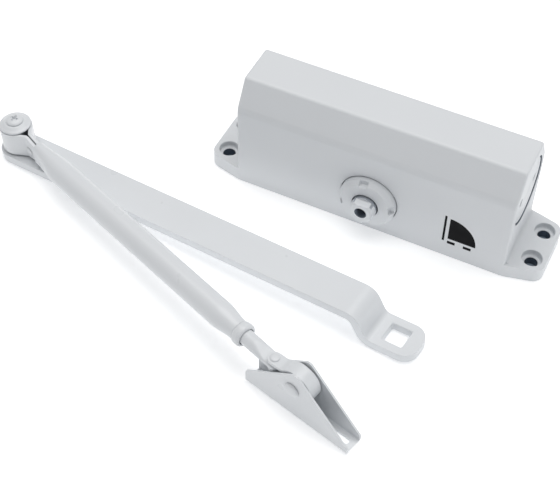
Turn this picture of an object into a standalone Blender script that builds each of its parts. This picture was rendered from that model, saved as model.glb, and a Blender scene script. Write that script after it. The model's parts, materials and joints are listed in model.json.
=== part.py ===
# Surface-mounted hydraulic door closer with its loose scissor arm.
#
# The cast body is a rack-and-pinion closer: a spindle with a pinion crosses the body, a piston with a
# rack lies above it, a spring pushes the piston back and two needle valves meter the oil.
# The arm lies beside the body: a flat main arm with a square hole, a tubular forearm with an
# adjustable rod, a folded link and a channel-shaped shoe.
#
# Frame: origin at the middle of the body's mounting face, +X along the body, -Y out of the front
# spindle face, +Z away from the door. Lengths are in metres.

from math import acos, atan2, cos, pi, radians, sin, sqrt, tan

import bmesh
import bpy
from mathutils import Matrix, Vector

MM = 0.001
GAP = 0.3 * MM            # air between neighbours that would touch
HAIR = 0.15 * MM          # air under rivet heads and washers

# ---------------------------------------------------------------- body sizes
BODY_LENGTH = 141.8 * MM
BODY_HALF_WIDTH = 20.0 * MM
BODY_SHOULDER_HEIGHT = 48.5 * MM
BODY_HEIGHT = 62.7 * MM
BODY_TOP_HALF_WIDTH = 11.2 * MM
BODY_TOP_RADIUS = 2.2 * MM
BODY_SHOULDER_RADIUS = 9.0 * MM
BODY_END_RADIUS = 1.3 * MM

FLANGE_LENGTH = 176.4 * MM
FLANGE_THICKNESS = 8.0 * MM
FLANGE_END_HALF_WIDTH = 15.7 * MM
FLANGE_CORNER_RADIUS = 5.5 * MM
SCREW_PITCH_X = 162.0 * MM
SCREW_PITCH_Y = 19.0 * MM
SCREW_HOLE_RADIUS = 3.2 * MM
SCREW_HEAD_RADIUS = 4.9 * MM
SCREW_HEAD_DEPTH = 3.2 * MM

SPINDLE_HEIGHT = 19.7 * MM
PISTON_HEIGHT = 41.0 * MM
BORE_RADIUS = 16.5 * MM
CROSS_BORE_RADIUS = 10.9 * MM

PLUG_RADIUS = 17.0 * MM
PLUG_LENGTH = 9.6 * MM
PLUG_RECESS = 0.8 * MM

COLLAR_RADIUS = 14.4 * MM
COLLAR_DEPTH = 3.7 * MM           # thread length inside the body
COLLAR_STANDOUT = 4.7 * MM
COLLAR_BORE_RADIUS = 6.75 * MM
COLLAR_CHAMFER = 1.6 * MM
NOTCH_WIDTH = 4.6 * MM
NOTCH_DEPTH = 2.6 * MM
NOTCH_ANGLE = radians(8)

# ---------------------------------------------------------------- gear sizes
GEAR_MODULE = 1.5 * MM
PINION_TEETH = 12
PRESSURE_ANGLE = radians(25)
BACKLASH = 0.5 * MM
PINION_WIDTH = 16.8 * MM

SHAFT_RADIUS = 6.35 * MM
SPINDLE_STANDOUT = 10.0 * MM      # square end proud of the body's face
SPINDLE_SQUARE = 10.0 * MM
SQUARE_START = 1.5 * MM           # round root left outside the collar
SPINDLE_TAP_RADIUS = 2.5 * MM
SPINDLE_TAP_DEPTH = 9.0 * MM
BEARING_WIDTH = 6.6 * MM

PISTON_RADIUS = 16.2 * MM
PISTON_HEAD = 12.0 * MM
OIL_CHAMBER = 8.6 * MM
CHECK_BORE = 3.4 * MM             # radius of the ball valve's bore in the piston head
CHECK_DEPTH = 8.6 * MM
SPRING_WIRE_RADIUS = 1.9 * MM
SPRING_MEAN_RADIUS = 11.4 * MM
SPRING_COILS = 4

VALVE_RADIUS = 2.9 * MM
VALVE_LENGTH = 19.0 * MM
VALVE_HEIGHT = 14.6 * MM
VALVE_SPREAD = 17.0 * MM
OILWAY_RADIUS = 1.2 * MM

# ---------------------------------------------------------------- main arm
ELBOW_PLACE = (-178.6 * MM, -52.9 * MM)
MAIN_ARM_ANGLE = radians(-6.62)
MAIN_ARM_TILT = radians(3.4)
MAIN_ARM_LENGTH = 220.5 * MM      # elbow pivot to square hole
MAIN_ARM_WIDTH = 19.4 * MM
MAIN_ARM_THICKNESS = 4.8 * MM
MAIN_ARM_END = 12.4 * MM          # square hole's middle to the tip
SQUARE_HOLE = 10.3 * MM
JOGGLE_START = 18.4 * MM          # back from the square hole's middle
JOGGLE_END = 12.1 * MM
JOGGLE_RADIUS = 6.0 * MM

# ---------------------------------------------------------------- elbow and forearm
SCREW_SHANK_RADIUS = 3.0 * MM
SCREW_TOP_RADIUS = 4.4 * MM
SCREW_TOP_HEIGHT = 1.7 * MM
CAP_RADIUS = 8.0 * MM
CAP_RIM = 1.2 * MM
CAP_RISE = 1.3 * MM
SHEET = 1.8 * MM
STRAP_RADIUS = 8.3 * MM
STRAP_HEIGHT = 13.0 * MM
STRAP_TAIL_HEIGHT = 9.0 * MM   # where the tube begins
STRAP_TAIL_END = 27.0 * MM
STRAP_TAIL_START = 10.4 * MM
RIVET_RADIUS = 1.5 * MM

FOREARM_ANGLE = radians(-22.1)
FOREARM_RISE = radians(2.43)
FOREARM_AXIS_HEIGHT = 12.4 * MM   # above the main arm's underside, at the elbow
TUBE_RADIUS = 6.5 * MM
TUBE_WALL = 0.9 * MM
TUBE_START = 19.0 * MM
TUBE_ROUND_FROM = 40.0 * MM
TUBE_CONE_FROM = 159.0 * MM
TUBE_END = 172.4 * MM
TUBE_MOUTH_HALF_WIDTH = 3.4 * MM
TUBE_MOUTH_HALF_HEIGHT = 6.7 * MM
NECK_RADIUS = 5.05 * MM
LOCK_COLLAR_RADIUS = 5.75 * MM
LOCK_COLLAR_LENGTH = 4.6 * MM
ROD_RADIUS = 3.75 * MM
ROD_INSIDE = 60.0 * MM            # rod hidden in the tube
LINK_PIN = 196.0 * MM             # elbow pivot to link rivet
ROD_FLAT = 3.0 * MM
ROD_END_RADIUS = 3.9 * MM

# ---------------------------------------------------------------- link and shoe
SHOE_ANGLE = radians(-14.85)
LINK_LENGTH = 13.8 * MM
LINK_SHEET = 1.6 * MM
LINK_WIDTH = 6.8 * MM
BARREL_RADIUS = 9.2 * MM
PIN_HEIGHT = 19.6 * MM            # shoe pin above the shoe's base
PIN_RADIUS = 2.3 * MM
PIN_HEAD_RADIUS = 3.7 * MM
PIN_HEAD = 1.2 * MM
SHOE_WIDTH = 10.0 * MM
SHOE_SHEET = 1.0 * MM
SHOE_LENGTH = 58.1 * MM
SHOE_PIN_FROM_TIP = 26.9 * MM
SHOE_PEAK = 31.5 * MM
SHOE_SLOT = (2.8 * MM, 8.5 * MM)

# ---------------------------------------------------------------- derived places
PITCH_RADIUS = GEAR_MODULE * PINION_TEETH / 2
TIP_RADIUS = PITCH_RADIUS + GEAR_MODULE
PITCH_LINE = SPINDLE_HEIGHT + PITCH_RADIUS
PLUG_FACE = BODY_LENGTH / 2 - PLUG_RECESS
PLUG_INNER = PLUG_FACE - PLUG_LENGTH
COLLAR_INNER = BODY_HALF_WIDTH - COLLAR_DEPTH
COLLAR_OUTER = BODY_HALF_WIDTH + COLLAR_STANDOUT
SPINDLE_TIP = BODY_HALF_WIDTH + SPINDLE_STANDOUT
PISTON_LEFT = -PLUG_INNER + OIL_CHAMBER
RACK_LEFT = PISTON_LEFT + PISTON_HEAD
RACK_RIGHT = TIP_RADIUS + 0.6 * MM
STRAP_FLOOR = FOREARM_AXIS_HEIGHT - STRAP_HEIGHT / 2
CAP_FLOOR = STRAP_FLOOR + STRAP_HEIGHT + GAP
BUSH_RADIUS = STRAP_RADIUS - SHEET - GAP

WHITE = ("white powder coat", (0.82, 0.83, 0.84, 1), 0.42, 0.0)
STEEL = ("bright steel", (0.62, 0.63, 0.65, 1), 0.32, 1.0)
DARK_STEEL = ("oiled steel", (0.30, 0.31, 0.33, 1), 0.4, 1.0)
BRASS = ("brass", (0.72, 0.55, 0.28, 1), 0.35, 1.0)
RUBBER = ("black rubber", (0.03, 0.03, 0.03, 1), 0.7, 0.0)

ALONG_X = Matrix.Rotation(pi / 2, 4, "Y")      # local Z to +X
ALONG_FRONT = Matrix.Rotation(pi / 2, 4, "X")  # local Z to -Y
ALONG_BACK = Matrix.Rotation(-pi / 2, 4, "X")  # local Z to +Y
SIDE_ON = Matrix(((1, 0, 0, 0), (0, 0, -1, 0), (0, 1, 0, 0), (0, 0, 0, 1)))  # outline XY to XZ
END_ON = Matrix(((0, 0, 1, 0), (1, 0, 0, 0), (0, 1, 0, 0), (0, 0, 0, 1)))    # outline XY to YZ

parts = None
cutters = None


# ---------------------------------------------------------------- tools
def at(x=0.0, y=0.0, z=0.0):
    return Matrix.Translation((x, y, z))


def new_object(name, data, keep):
    obj = bpy.data.objects.new(name, data)
    (parts if keep else cutters).objects.link(obj)
    if not keep:
        obj.hide_render = True
        obj.display_type = "WIRE"
    return obj


def empty(name, matrix):
    obj = bpy.data.objects.new(name, None)
    cutters.objects.link(obj)
    obj.matrix_basis = matrix
    return obj


def dress(obj, finish, matrix=Matrix(), parent=None):
    """Give a piece its material, its place and its parent."""
    name, colour, roughness, metallic = finish
    mat = bpy.data.materials.get(name)
    if mat is None:
        mat = bpy.data.materials.new(name)
        mat.use_nodes = True
        shader = mat.node_tree.nodes["Principled BSDF"]
        shader.inputs["Base Color"].default_value = colour
        shader.inputs["Roughness"].default_value = roughness
        shader.inputs["Metallic"].default_value = metallic
    obj.data.materials.append(mat)
    obj.parent = parent
    obj.matrix_basis = matrix
    return obj


def put(obj, matrix=Matrix(), parent=None):
    obj.parent = parent
    obj.matrix_basis = matrix
    return obj


def turned(name, profile, ring=False, segments=24):
    """Turn (radius, height) points about Z; they run down the outer side, top to bottom."""
    mesh = bpy.data.meshes.new(name)
    count = len(profile)
    edges = [(i, i + 1) for i in range(count - 1)]
    if ring:
        edges.append((count - 1, 0))
    mesh.from_pydata([(r, 0.0, h) for r, h in profile], edges, [])
    obj = new_object(name, mesh, True)
    screw = obj.modifiers.new("Turn", "SCREW")
    screw.steps = segments
    screw.render_steps = segments
    screw.use_merge_vertices = True
    screw.merge_threshold = 0.00001
    screw.use_smooth_shade = True
    return obj


def rounded(corners, closed=True, steps=4):
    """Points of an outline whose corners (x, y, radius) are turned into arcs."""
    points = []
    count = len(corners)
    for i, (x, y, radius) in enumerate(corners):
        here = Vector((x, y))
        if radius <= 0 or (not closed and i in (0, count - 1)):
            points.append(here)
            continue
        before = Vector(corners[i - 1][:2])
        after = Vector(corners[(i + 1) % count][:2])
        to_before = (before - here).normalized()
        to_after = (after - here).normalized()
        half = acos(max(-1.0, min(1.0, to_before.dot(to_after)))) / 2
        reach = radius / tan(half)
        centre = here + (to_before + to_after).normalized() * (radius / sin(half))
        start = here + to_before * reach - centre
        end = here + to_after * reach - centre
        first = atan2(start.y, start.x)
        sweep = (atan2(end.y, end.x) - first + pi) % (2 * pi) - pi
        for step in range(steps + 1):
            angle = first + sweep * step / steps
            points.append(centre + Vector((cos(angle), sin(angle))) * radius)
    return points


def band(path, thickness):
    """Closed outline of a sheet of even thickness whose middle follows the path."""
    left, right = [], []
    count = len(path)
    for i, point in enumerate(path):
        ahead = (path[min(i + 1, count - 1)] - path[i]).normalized() if i < count - 1 else None
        behind = (path[i] - path[i - 1]).normalized() if i > 0 else None
        ahead = ahead or behind
        behind = behind or ahead
        middle = (ahead + behind).normalized()
        side = Vector((-middle.y, middle.x))
        width = thickness / 2 / max(0.5, middle.dot(ahead))
        left.append(point + side * width)
        right.append(point - side * width)
    return left + right[::-1]


def plate(name, outline, thickness, keep=True):
    """Flat outline in XY, extruded evenly to both sides of Z = 0, as a welded mesh."""
    curve = bpy.data.curves.new(name, "CURVE")
    curve.dimensions = "2D"
    curve.fill_mode = "BOTH"
    curve.extrude = thickness / 2
    spline = curve.splines.new("POLY")
    spline.points.add(len(outline) - 1)
    for target, point in zip(spline.points, outline):
        target.co = (point[0], point[1], 0.0, 1.0)
    spline.use_cyclic_u = True
    return meshed(new_object(name, curve, keep), keep)


def meshed(source, keep=True):
    """Swap a curve object for a welded mesh object of the same name and place."""
    name, place = source.name, source.matrix_world.copy()
    graph = bpy.context.evaluated_depsgraph_get()
    mesh = bpy.data.meshes.new_from_object(source.evaluated_get(graph))
    bpy.data.objects.remove(source)
    work = bmesh.new()
    work.from_mesh(mesh)
    bmesh.ops.remove_doubles(work, verts=work.verts, dist=0.000001)
    bmesh.ops.recalc_face_normals(work, faces=work.faces)
    work.to_mesh(mesh)
    work.free()
    obj = new_object(name, mesh, keep)
    obj.matrix_world = place
    return obj


def bar(name, radius, length, matrix, parent=None, segments=24):
    """Cylinder cutter, centred on its matrix and lying along its Z."""
    mesh = bpy.data.meshes.new(name)
    work = bmesh.new()
    bmesh.ops.create_cone(work, cap_ends=True, segments=segments, radius1=radius,
                          radius2=radius, depth=length)
    work.to_mesh(mesh)
    work.free()
    return put(new_object(name, mesh, False), matrix, parent)


def block(name, size, matrix, parent=None):
    """Box cutter, centred on its matrix."""
    mesh = bpy.data.meshes.new(name)
    work = bmesh.new()
    bmesh.ops.create_cube(work, size=1.0)
    bmesh.ops.scale(work, vec=size, verts=work.verts)
    work.to_mesh(mesh)
    work.free()
    return put(new_object(name, mesh, False), matrix, parent)


def combine(target, others, operation="DIFFERENCE"):
    for other in others:
        step = target.modifiers.new("Boolean", "BOOLEAN")
        step.operation = operation
        step.solver = "EXACT"
        step.object = other
    return target


def soften(obj, width, chosen, segments=2):
    """Round the edges of a mesh for which chosen(a, b) holds."""
    work = bmesh.new()
    work.from_mesh(obj.data)
    edges = [e for e in work.edges if chosen(e)]
    bmesh.ops.bevel(work, geom=edges, offset=width, offset_type="OFFSET", segments=segments,
                    profile=0.5, affect="EDGES", material=-1)
    work.to_mesh(obj.data)
    work.free()
    return obj


def sharp_to(edge, angle):
    return len(edge.link_faces) == 2 and edge.calc_face_angle(0.0) > angle


# ---------------------------------------------------------------- closer body
def housing():
    """One casting: a prism with sloping shoulders on a plate whose ends are the flanges."""
    half = BODY_LENGTH / 2
    section = rounded([
        (-BODY_HALF_WIDTH, 0, 0),
        (BODY_HALF_WIDTH, 0, 0),
        (BODY_HALF_WIDTH, BODY_SHOULDER_HEIGHT, BODY_SHOULDER_RADIUS),
        (BODY_TOP_HALF_WIDTH, BODY_HEIGHT, BODY_TOP_RADIUS),
        (-BODY_TOP_HALF_WIDTH, BODY_HEIGHT, BODY_TOP_RADIUS),
        (-BODY_HALF_WIDTH, BODY_SHOULDER_HEIGHT, BODY_SHOULDER_RADIUS),
    ])
    body = plate("housing", section, BODY_LENGTH)
    soften(body, BODY_END_RADIUS, lambda e: sharp_to(e, radians(80)) and abs(
        abs(e.verts[0].co.z) - half) < 1e-6 and abs(abs(e.verts[1].co.z) - half) < 1e-6)
    dress(body, WHITE, END_ON)

    inset = 0.05 * MM          # keeps the plate's sides inside the prism's
    end, side = FLANGE_LENGTH / 2, BODY_HALF_WIDTH - inset
    outline = rounded([
        (end, FLANGE_END_HALF_WIDTH, FLANGE_CORNER_RADIUS),
        (half, side, 12 * MM),
        (half - 14 * MM, side, 0),
        (half - 14 * MM, -side, 0),
        (half, -side, 12 * MM),
        (end, -FLANGE_END_HALF_WIDTH, FLANGE_CORNER_RADIUS),
    ])
    for name, turn in (("right", 0), ("left", pi)):
        flange = plate("flange_" + name, outline, FLANGE_THICKNESS, keep=False)
        soften(flange, 0.7 * MM, lambda e: sharp_to(e, radians(60)) and
               min(v.co.z for v in e.verts) > 0 and min(v.co.x for v in e.verts) > half)
        put(flange, at(z=FLANGE_THICKNESS / 2) @ Matrix.Rotation(turn, 4, "Z"))
        combine(body, [flange], "UNION")

    holes = []
    for side_x in (-1, 1):
        for side_y in (-1, 1):
            place = at(side_x * SCREW_PITCH_X / 2, side_y * SCREW_PITCH_Y / 2, 0)
            holes.append(bar("screw_hole", SCREW_HOLE_RADIUS, 4 * FLANGE_THICKNESS, place))
            top = FLANGE_THICKNESS - SCREW_HEAD_DEPTH + FLANGE_THICKNESS / 2
            holes.append(bar("screw_seat", SCREW_HEAD_RADIUS, FLANGE_THICKNESS, place @ at(z=top)))
    holes.append(bar("piston_bore", BORE_RADIUS, BODY_LENGTH * 1.2,
                     at(z=PISTON_HEIGHT) @ ALONG_X, segments=32))
    for side_x in (-1, 1):
        seat = at(side_x * (PLUG_INNER + BODY_LENGTH / 4 - GAP), 0, PISTON_HEIGHT)
        holes.append(bar("plug_seat", PLUG_RADIUS + GAP, BODY_LENGTH / 2, seat @ ALONG_X, segments=32))
    holes.append(bar("cross_bore", CROSS_BORE_RADIUS, BODY_HALF_WIDTH * 2.5,
                     at(z=SPINDLE_HEIGHT) @ ALONG_FRONT, segments=32))
    for side_y in (-1, 1):
        seat = at(0, side_y * (COLLAR_INNER + BODY_HALF_WIDTH / 2 - GAP), SPINDLE_HEIGHT)
        holes.append(bar("collar_seat", COLLAR_RADIUS + GAP, BODY_HALF_WIDTH, seat @ ALONG_FRONT,
                         segments=32))
    for side_y in (-1, 1):
        y = side_y * VALVE_SPREAD / 2
        reach = VALVE_LENGTH + 2 * MM
        holes.append(bar("valve_bore", VALVE_RADIUS + GAP, 2 * reach,
                         at(-half, y, VALVE_HEIGHT) @ ALONG_X, segments=20))
        port_x = -(PLUG_INNER - OIL_CHAMBER / 2)
        holes.append(bar("chamber_port", OILWAY_RADIUS, PISTON_HEIGHT - VALVE_HEIGHT,
                         at(port_x, y, (PISTON_HEIGHT + VALVE_HEIGHT) / 2), segments=12))
        run = half - reach + 1 * MM
        holes.append(bar("gallery", OILWAY_RADIUS, run,
                         at(-run / 2, y, VALVE_HEIGHT) @ ALONG_X, segments=12))
    return combine(body, holes)


def end_plug(name, side, pin_holes):
    """Threaded plug with a seal groove and two spanner holes, its face at +Z."""
    groove_top = PLUG_LENGTH * 0.55
    groove_low = PLUG_LENGTH * 0.25
    thick = (groove_top - groove_low) / 2 - GAP
    floor = PLUG_RADIUS + GAP - 2 * (thick + GAP)
    plug = turned(name, [
        (0, 0), (PLUG_RADIUS - 0.6 * MM, 0), (PLUG_RADIUS, -0.6 * MM),
        (PLUG_RADIUS, groove_top - PLUG_LENGTH), (floor, groove_top - PLUG_LENGTH),
        (floor, groove_low - PLUG_LENGTH), (PLUG_RADIUS, groove_low - PLUG_LENGTH),
        (PLUG_RADIUS, 0.6 * MM - PLUG_LENGTH), (PLUG_RADIUS - 0.6 * MM, -PLUG_LENGTH),
        (0, -PLUG_LENGTH),
    ], segments=28)
    base = at(side * PLUG_FACE, 0, PISTON_HEIGHT) @ Matrix.Rotation(side * pi / 2, 4, "Y")
    dress(plug, WHITE, base)
    holes = [bar("spanner_hole", 2.2 * MM, 8 * MM, base @ at(0, y, 0), segments=16) for y in pin_holes]
    combine(plug, holes)
    middle = PLUG_LENGTH - (groove_top + groove_low) / 2
    seal_ring(name.replace("plug", "plug_seal"), floor + GAP + thick, thick, base @ at(z=-middle), 28)
    return plug


def seal_ring(name, centre_radius, thickness_radius, matrix, segments=20):
    """O-ring about local Z."""
    steps = 6
    profile = [(centre_radius + thickness_radius * cos(-2 * pi * i / steps),
                thickness_radius * sin(-2 * pi * i / steps)) for i in range(steps)]
    return dress(turned(name, profile, ring=True, segments=segments), RUBBER, matrix)


def spindle_collar(name, side):
    """Threaded bearing retainer with spanner notches and a groove for the shaft seal."""
    depth = COLLAR_OUTER - COLLAR_INNER
    groove_radius = COLLAR_BORE_RADIUS + 2.0 * MM
    low, high = depth * 0.2, depth * 0.5
    collar = turned(name, [
        (COLLAR_BORE_RADIUS, depth), (COLLAR_RADIUS - COLLAR_CHAMFER, depth),
        (COLLAR_RADIUS, depth - COLLAR_CHAMFER * 1.4), (COLLAR_RADIUS, 0),
        (COLLAR_BORE_RADIUS, 0), (COLLAR_BORE_RADIUS, low), (groove_radius, low),
        (groove_radius, high), (COLLAR_BORE_RADIUS, high),
    ], ring=True, segments=32)
    turn = ALONG_FRONT if side < 0 else ALONG_BACK
    place = at(0, side * COLLAR_INNER, SPINDLE_HEIGHT) @ turn
    dress(collar, WHITE, place)
    notches = []
    for i in range(4):
        spin = Matrix.Rotation(NOTCH_ANGLE + i * pi / 2, 4, "Z")
        spot = spin @ at(COLLAR_RADIUS, 0, depth)
        notches.append(block("notch", (2 * NOTCH_DEPTH, NOTCH_WIDTH, 2 * NOTCH_DEPTH), place @ spot))
    combine(collar, notches)
    thick = (high - low) / 2 - GAP
    seal_ring(name.replace("collar", "seal"), groove_radius - GAP - thick, thick,
              place @ at(z=(low + high) / 2))
    return collar


def bearing(name, side):
    """Plain bearing ring between the pinion and the collar."""
    outer, inner = CROSS_BORE_RADIUS - GAP, SHAFT_RADIUS + GAP
    half = BEARING_WIDTH / 2
    ring = turned(name, [(outer, half), (outer, -half), (inner, -half), (inner, half)], ring=True)
    middle = COLLAR_INNER - GAP - half
    return dress(ring, BRASS, at(0, side * middle, SPINDLE_HEIGHT) @ ALONG_FRONT)


def pinion_outline():
    """Involute teeth with one tooth pointing along +Y of the outline."""
    base = PITCH_RADIUS * cos(PRESSURE_ANGLE)
    root = PITCH_RADIUS - 1.2 * GEAR_MODULE

    def opening(radius):
        """Angle that the involute has turned through at a radius."""
        if radius <= base:
            return 0.0
        roll = sqrt((radius / base) ** 2 - 1)
        return roll - atan2(roll, 1)

    tooth = (pi * PITCH_RADIUS / PINION_TEETH - BACKLASH / 2) / (2 * PITCH_RADIUS)
    flank_radii = [root, base, (base + TIP_RADIUS) / 2, TIP_RADIUS]
    points = []
    for index in range(PINION_TEETH):
        middle = pi / 2 + index * 2 * pi / PINION_TEETH
        sides = [(r, tooth + opening(PITCH_RADIUS) - opening(r)) for r in flank_radii]
        for radius, half in sides:
            points.append((radius * cos(middle - half), radius * sin(middle - half)))
        for radius, half in reversed(sides):
            points.append((radius * cos(middle + half), radius * sin(middle + half)))
    return points


def spindle():
    """Pinion shaft with a square, tapped end on each side."""
    gear = plate("pinion_teeth", pinion_outline(), PINION_WIDTH, keep=False)
    place = at(z=SPINDLE_HEIGHT) @ ALONG_FRONT
    put(gear, place)
    tip, chamfer = SPINDLE_TIP, 1.0 * MM
    shaft = turned("spindle", [
        (0, tip), (SHAFT_RADIUS - chamfer, tip), (SHAFT_RADIUS, tip - chamfer),
        (SHAFT_RADIUS, chamfer - tip), (SHAFT_RADIUS - chamfer, -tip), (0, -tip),
    ])
    dress(shaft, STEEL, place)
    combine(shaft, [gear], "UNION")
    cuts = []
    for side in (-1, 1):
        start = COLLAR_OUTER + SQUARE_START
        length = 2 * (tip - start)
        for i in range(4):
            spin = Matrix.Rotation(i * pi / 2 + radians(45), 4, "Z")
            offset = spin @ at(SPINDLE_SQUARE / 2 + SHAFT_RADIUS / 2, 0, side * tip)
            cuts.append(block("flat", (SHAFT_RADIUS, 3 * SHAFT_RADIUS, length), place @ offset))
        cuts.append(bar("tapping", SPINDLE_TAP_RADIUS, 2 * SPINDLE_TAP_DEPTH,
                        place @ at(z=side * tip), segments=20))
    return combine(shaft, cuts)


def piston():
    """Piston with a seal groove and a valve bore in its head and a rack cut in its underside."""
    length = RACK_RIGHT - PISTON_LEFT
    groove, width = 4.0 * MM, 3.0 * MM
    thick = width / 2 - GAP
    sunk = BORE_RADIUS - 2 * (thick + GAP)
    body = turned("piston", [
        (0, length), (PISTON_RADIUS, length), (PISTON_RADIUS, groove + width),
        (sunk, groove + width), (sunk, groove),
        (PISTON_RADIUS, groove), (PISTON_RADIUS, 0.8 * MM), (PISTON_RADIUS - 0.8 * MM, 0), (0, 0),
    ], segments=32)
    base = at(PISTON_LEFT, 0, PISTON_HEIGHT) @ ALONG_X
    dress(body, DARK_STEEL, base)

    pitch = pi * GEAR_MODULE
    slope = tan(PRESSURE_ANGLE)
    top = PITCH_LINE + 1.2 * GEAR_MODULE     # bottom of the rack's gaps, seen from the pinion
    tip = PITCH_LINE - GEAR_MODULE
    under = SPINDLE_HEIGHT - 2 * PITCH_RADIUS
    half_gap = pitch / 4 + BACKLASH / 4
    outline = [(RACK_RIGHT + 5 * MM, under), (RACK_RIGHT + 5 * MM, top)]
    first_gap = int((RACK_RIGHT - 2 * half_gap) / pitch)
    last_gap = -int((-RACK_LEFT - 2 * half_gap) / pitch)
    for index in range(first_gap, last_gap - 1, -1):
        middle = index * pitch
        wide = half_gap + (PITCH_LINE - tip) * slope
        narrow = half_gap - (top - PITCH_LINE) * slope
        if index == first_gap:
            outline += [(middle + narrow, top)]
        else:
            outline += [(middle + wide, tip), (middle + narrow, top)]
        outline += [(middle - narrow, top), (middle - wide, tip)]
    outline += [(RACK_LEFT, tip), (RACK_LEFT, under)]
    rack = plate("rack_gaps", outline, 4 * PISTON_RADIUS, keep=False)
    put(rack, SIDE_ON)

    cuts = [rack]
    relief_top = PITCH_LINE + 1.6 * GEAR_MODULE
    rib = PINION_WIDTH / 2 + GAP
    for side in (-1, 1):
        size = (RACK_RIGHT - RACK_LEFT + 5 * MM, PISTON_RADIUS, 2 * PISTON_RADIUS)
        spot = at((RACK_RIGHT + RACK_LEFT + 5 * MM) / 2, side * (rib + PISTON_RADIUS / 2),
                  relief_top - PISTON_RADIUS)
        cuts.append(block("rack_relief", size, spot))
    cuts.append(bar("oilway", 1.8 * MM, 3 * length, base, segments=16))
    cuts.append(bar("valve_seat", CHECK_BORE, 2 * CHECK_DEPTH, base, segments=20))
    combine(body, cuts)

    seal_ring("piston_seal", sunk + GAP + thick, thick, base @ at(z=groove + width / 2), 28)
    ball = bpy.data.meshes.new("check_ball")
    work = bmesh.new()
    bmesh.ops.create_uvsphere(work, u_segments=14, v_segments=8, radius=CHECK_BORE - 2 * GAP)
    work.to_mesh(ball)
    work.free()
    dress(new_object("check_ball", ball, True), STEEL, base @ at(z=CHECK_DEPTH - CHECK_BORE + GAP))
    keeper = turned("check_retainer", [
        (CHECK_BORE - GAP, 0.6 * MM + 1.6 * MM), (CHECK_BORE - GAP, 0.6 * MM),
        (1.4 * MM, 0.6 * MM), (1.4 * MM, 2.2 * MM)], ring=True, segments=20)
    dress(keeper, BRASS, base)
    return body


def closing_spring():
    """Compression spring between the piston and the right plug, with closed end coils."""
    start = RACK_RIGHT + GAP + SPRING_WIRE_RADIUS
    end = PLUG_INNER - GAP - SPRING_WIRE_RADIUS
    per_turn = 10
    total = (SPRING_COILS + 2) * per_turn
    closed = 2 * SPRING_WIRE_RADIUS + GAP
    curve = bpy.data.curves.new("closing_spring", "CURVE")
    curve.dimensions = "3D"
    curve.bevel_depth = SPRING_WIRE_RADIUS
    curve.bevel_resolution = 1
    curve.use_fill_caps = True
    spline = curve.splines.new("POLY")
    spline.points.add(total)
    for i in range(total + 1):
        turns = i / per_turn
        if turns < 1:
            x = start + closed * turns
        elif turns > SPRING_COILS + 1:
            x = end - closed * (SPRING_COILS + 2 - turns)
        else:
            x = start + closed + (end - start - 2 * closed) * (turns - 1) / SPRING_COILS
        angle = 2 * pi * turns
        spline.points[i].co = (x, SPRING_MEAN_RADIUS * cos(angle),
                               PISTON_HEIGHT + SPRING_MEAN_RADIUS * sin(angle), 1.0)
    return dress(meshed(new_object("closing_spring", curve, True)), DARK_STEEL)


def valve_screw(name, side):
    """Metering screw with a slotted head, a seal groove and a needle tip."""
    thick = 0.65 * MM
    r, neck = VALVE_RADIUS, VALVE_RADIUS + GAP - 2 * (thick + HAIR)
    length = VALVE_LENGTH
    screw = turned(name, [
        (0, 0), (r - 0.4 * MM, 0), (r, -0.4 * MM), (r, -7 * MM), (neck, -7 * MM), (neck, -9.2 * MM),
        (r, -9.2 * MM), (r, 4.5 * MM - length), (1.0 * MM, 0.5 * MM - length), (0, -length),
    ], segments=20)
    place = at(0.6 * MM - BODY_LENGTH / 2, side * VALVE_SPREAD / 2, VALVE_HEIGHT) @ ALONG_X.inverted()
    dress(screw, BRASS, place)
    combine(screw, [block("slot", (1.0 * MM, 3 * r, 2.0 * MM), place)])
    seal_ring(name.replace("screw", "seal"), neck + HAIR + thick, thick, place @ at(z=-8.1 * MM), 16)
    return screw


# ---------------------------------------------------------------- arm
def main_arm(pivot):
    """Flat bar with a joggle that brings its square hole down to the spindle's level."""
    hole, half = MAIN_ARM_LENGTH, MAIN_ARM_THICKNESS / 2
    reach = MAIN_ARM_WIDTH / 2
    drop = (hole - JOGGLE_END + reach) * tan(MAIN_ARM_TILT)
    slack = 6 * MM             # the bar is made long and trimmed to its outline
    path = rounded([
        (-reach - slack, half, 0),
        (hole - JOGGLE_START, half, JOGGLE_RADIUS),
        (hole - JOGGLE_END, half - drop, JOGGLE_RADIUS),
        (hole + MAIN_ARM_END + slack, half - drop, 0),
    ], closed=False, steps=6)
    arm = plate("main_arm", band(path, MAIN_ARM_THICKNESS), MAIN_ARM_WIDTH + 2 * MM)
    dress(arm, WHITE, SIDE_ON, pivot)
    outline = rounded([
        (-reach, reach, reach * 0.999),
        (-reach, -reach, reach * 0.999),
        (hole + MAIN_ARM_END, -reach, 7.4 * MM),
        (hole + MAIN_ARM_END, reach, 7.4 * MM),
    ], steps=9)
    trim = plate("arm_outline", outline, 6 * drop, keep=False)
    put(trim, Matrix(), pivot)
    combine(arm, [trim], "INTERSECT")
    hollow = block("square_hole", (SQUARE_HOLE, SQUARE_HOLE, 4 * drop), at(hole), pivot)
    bore = bar("elbow_thread", SCREW_SHANK_RADIUS + GAP, 4 * drop, Matrix(), pivot)
    return combine(arm, [hollow, bore])


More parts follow.
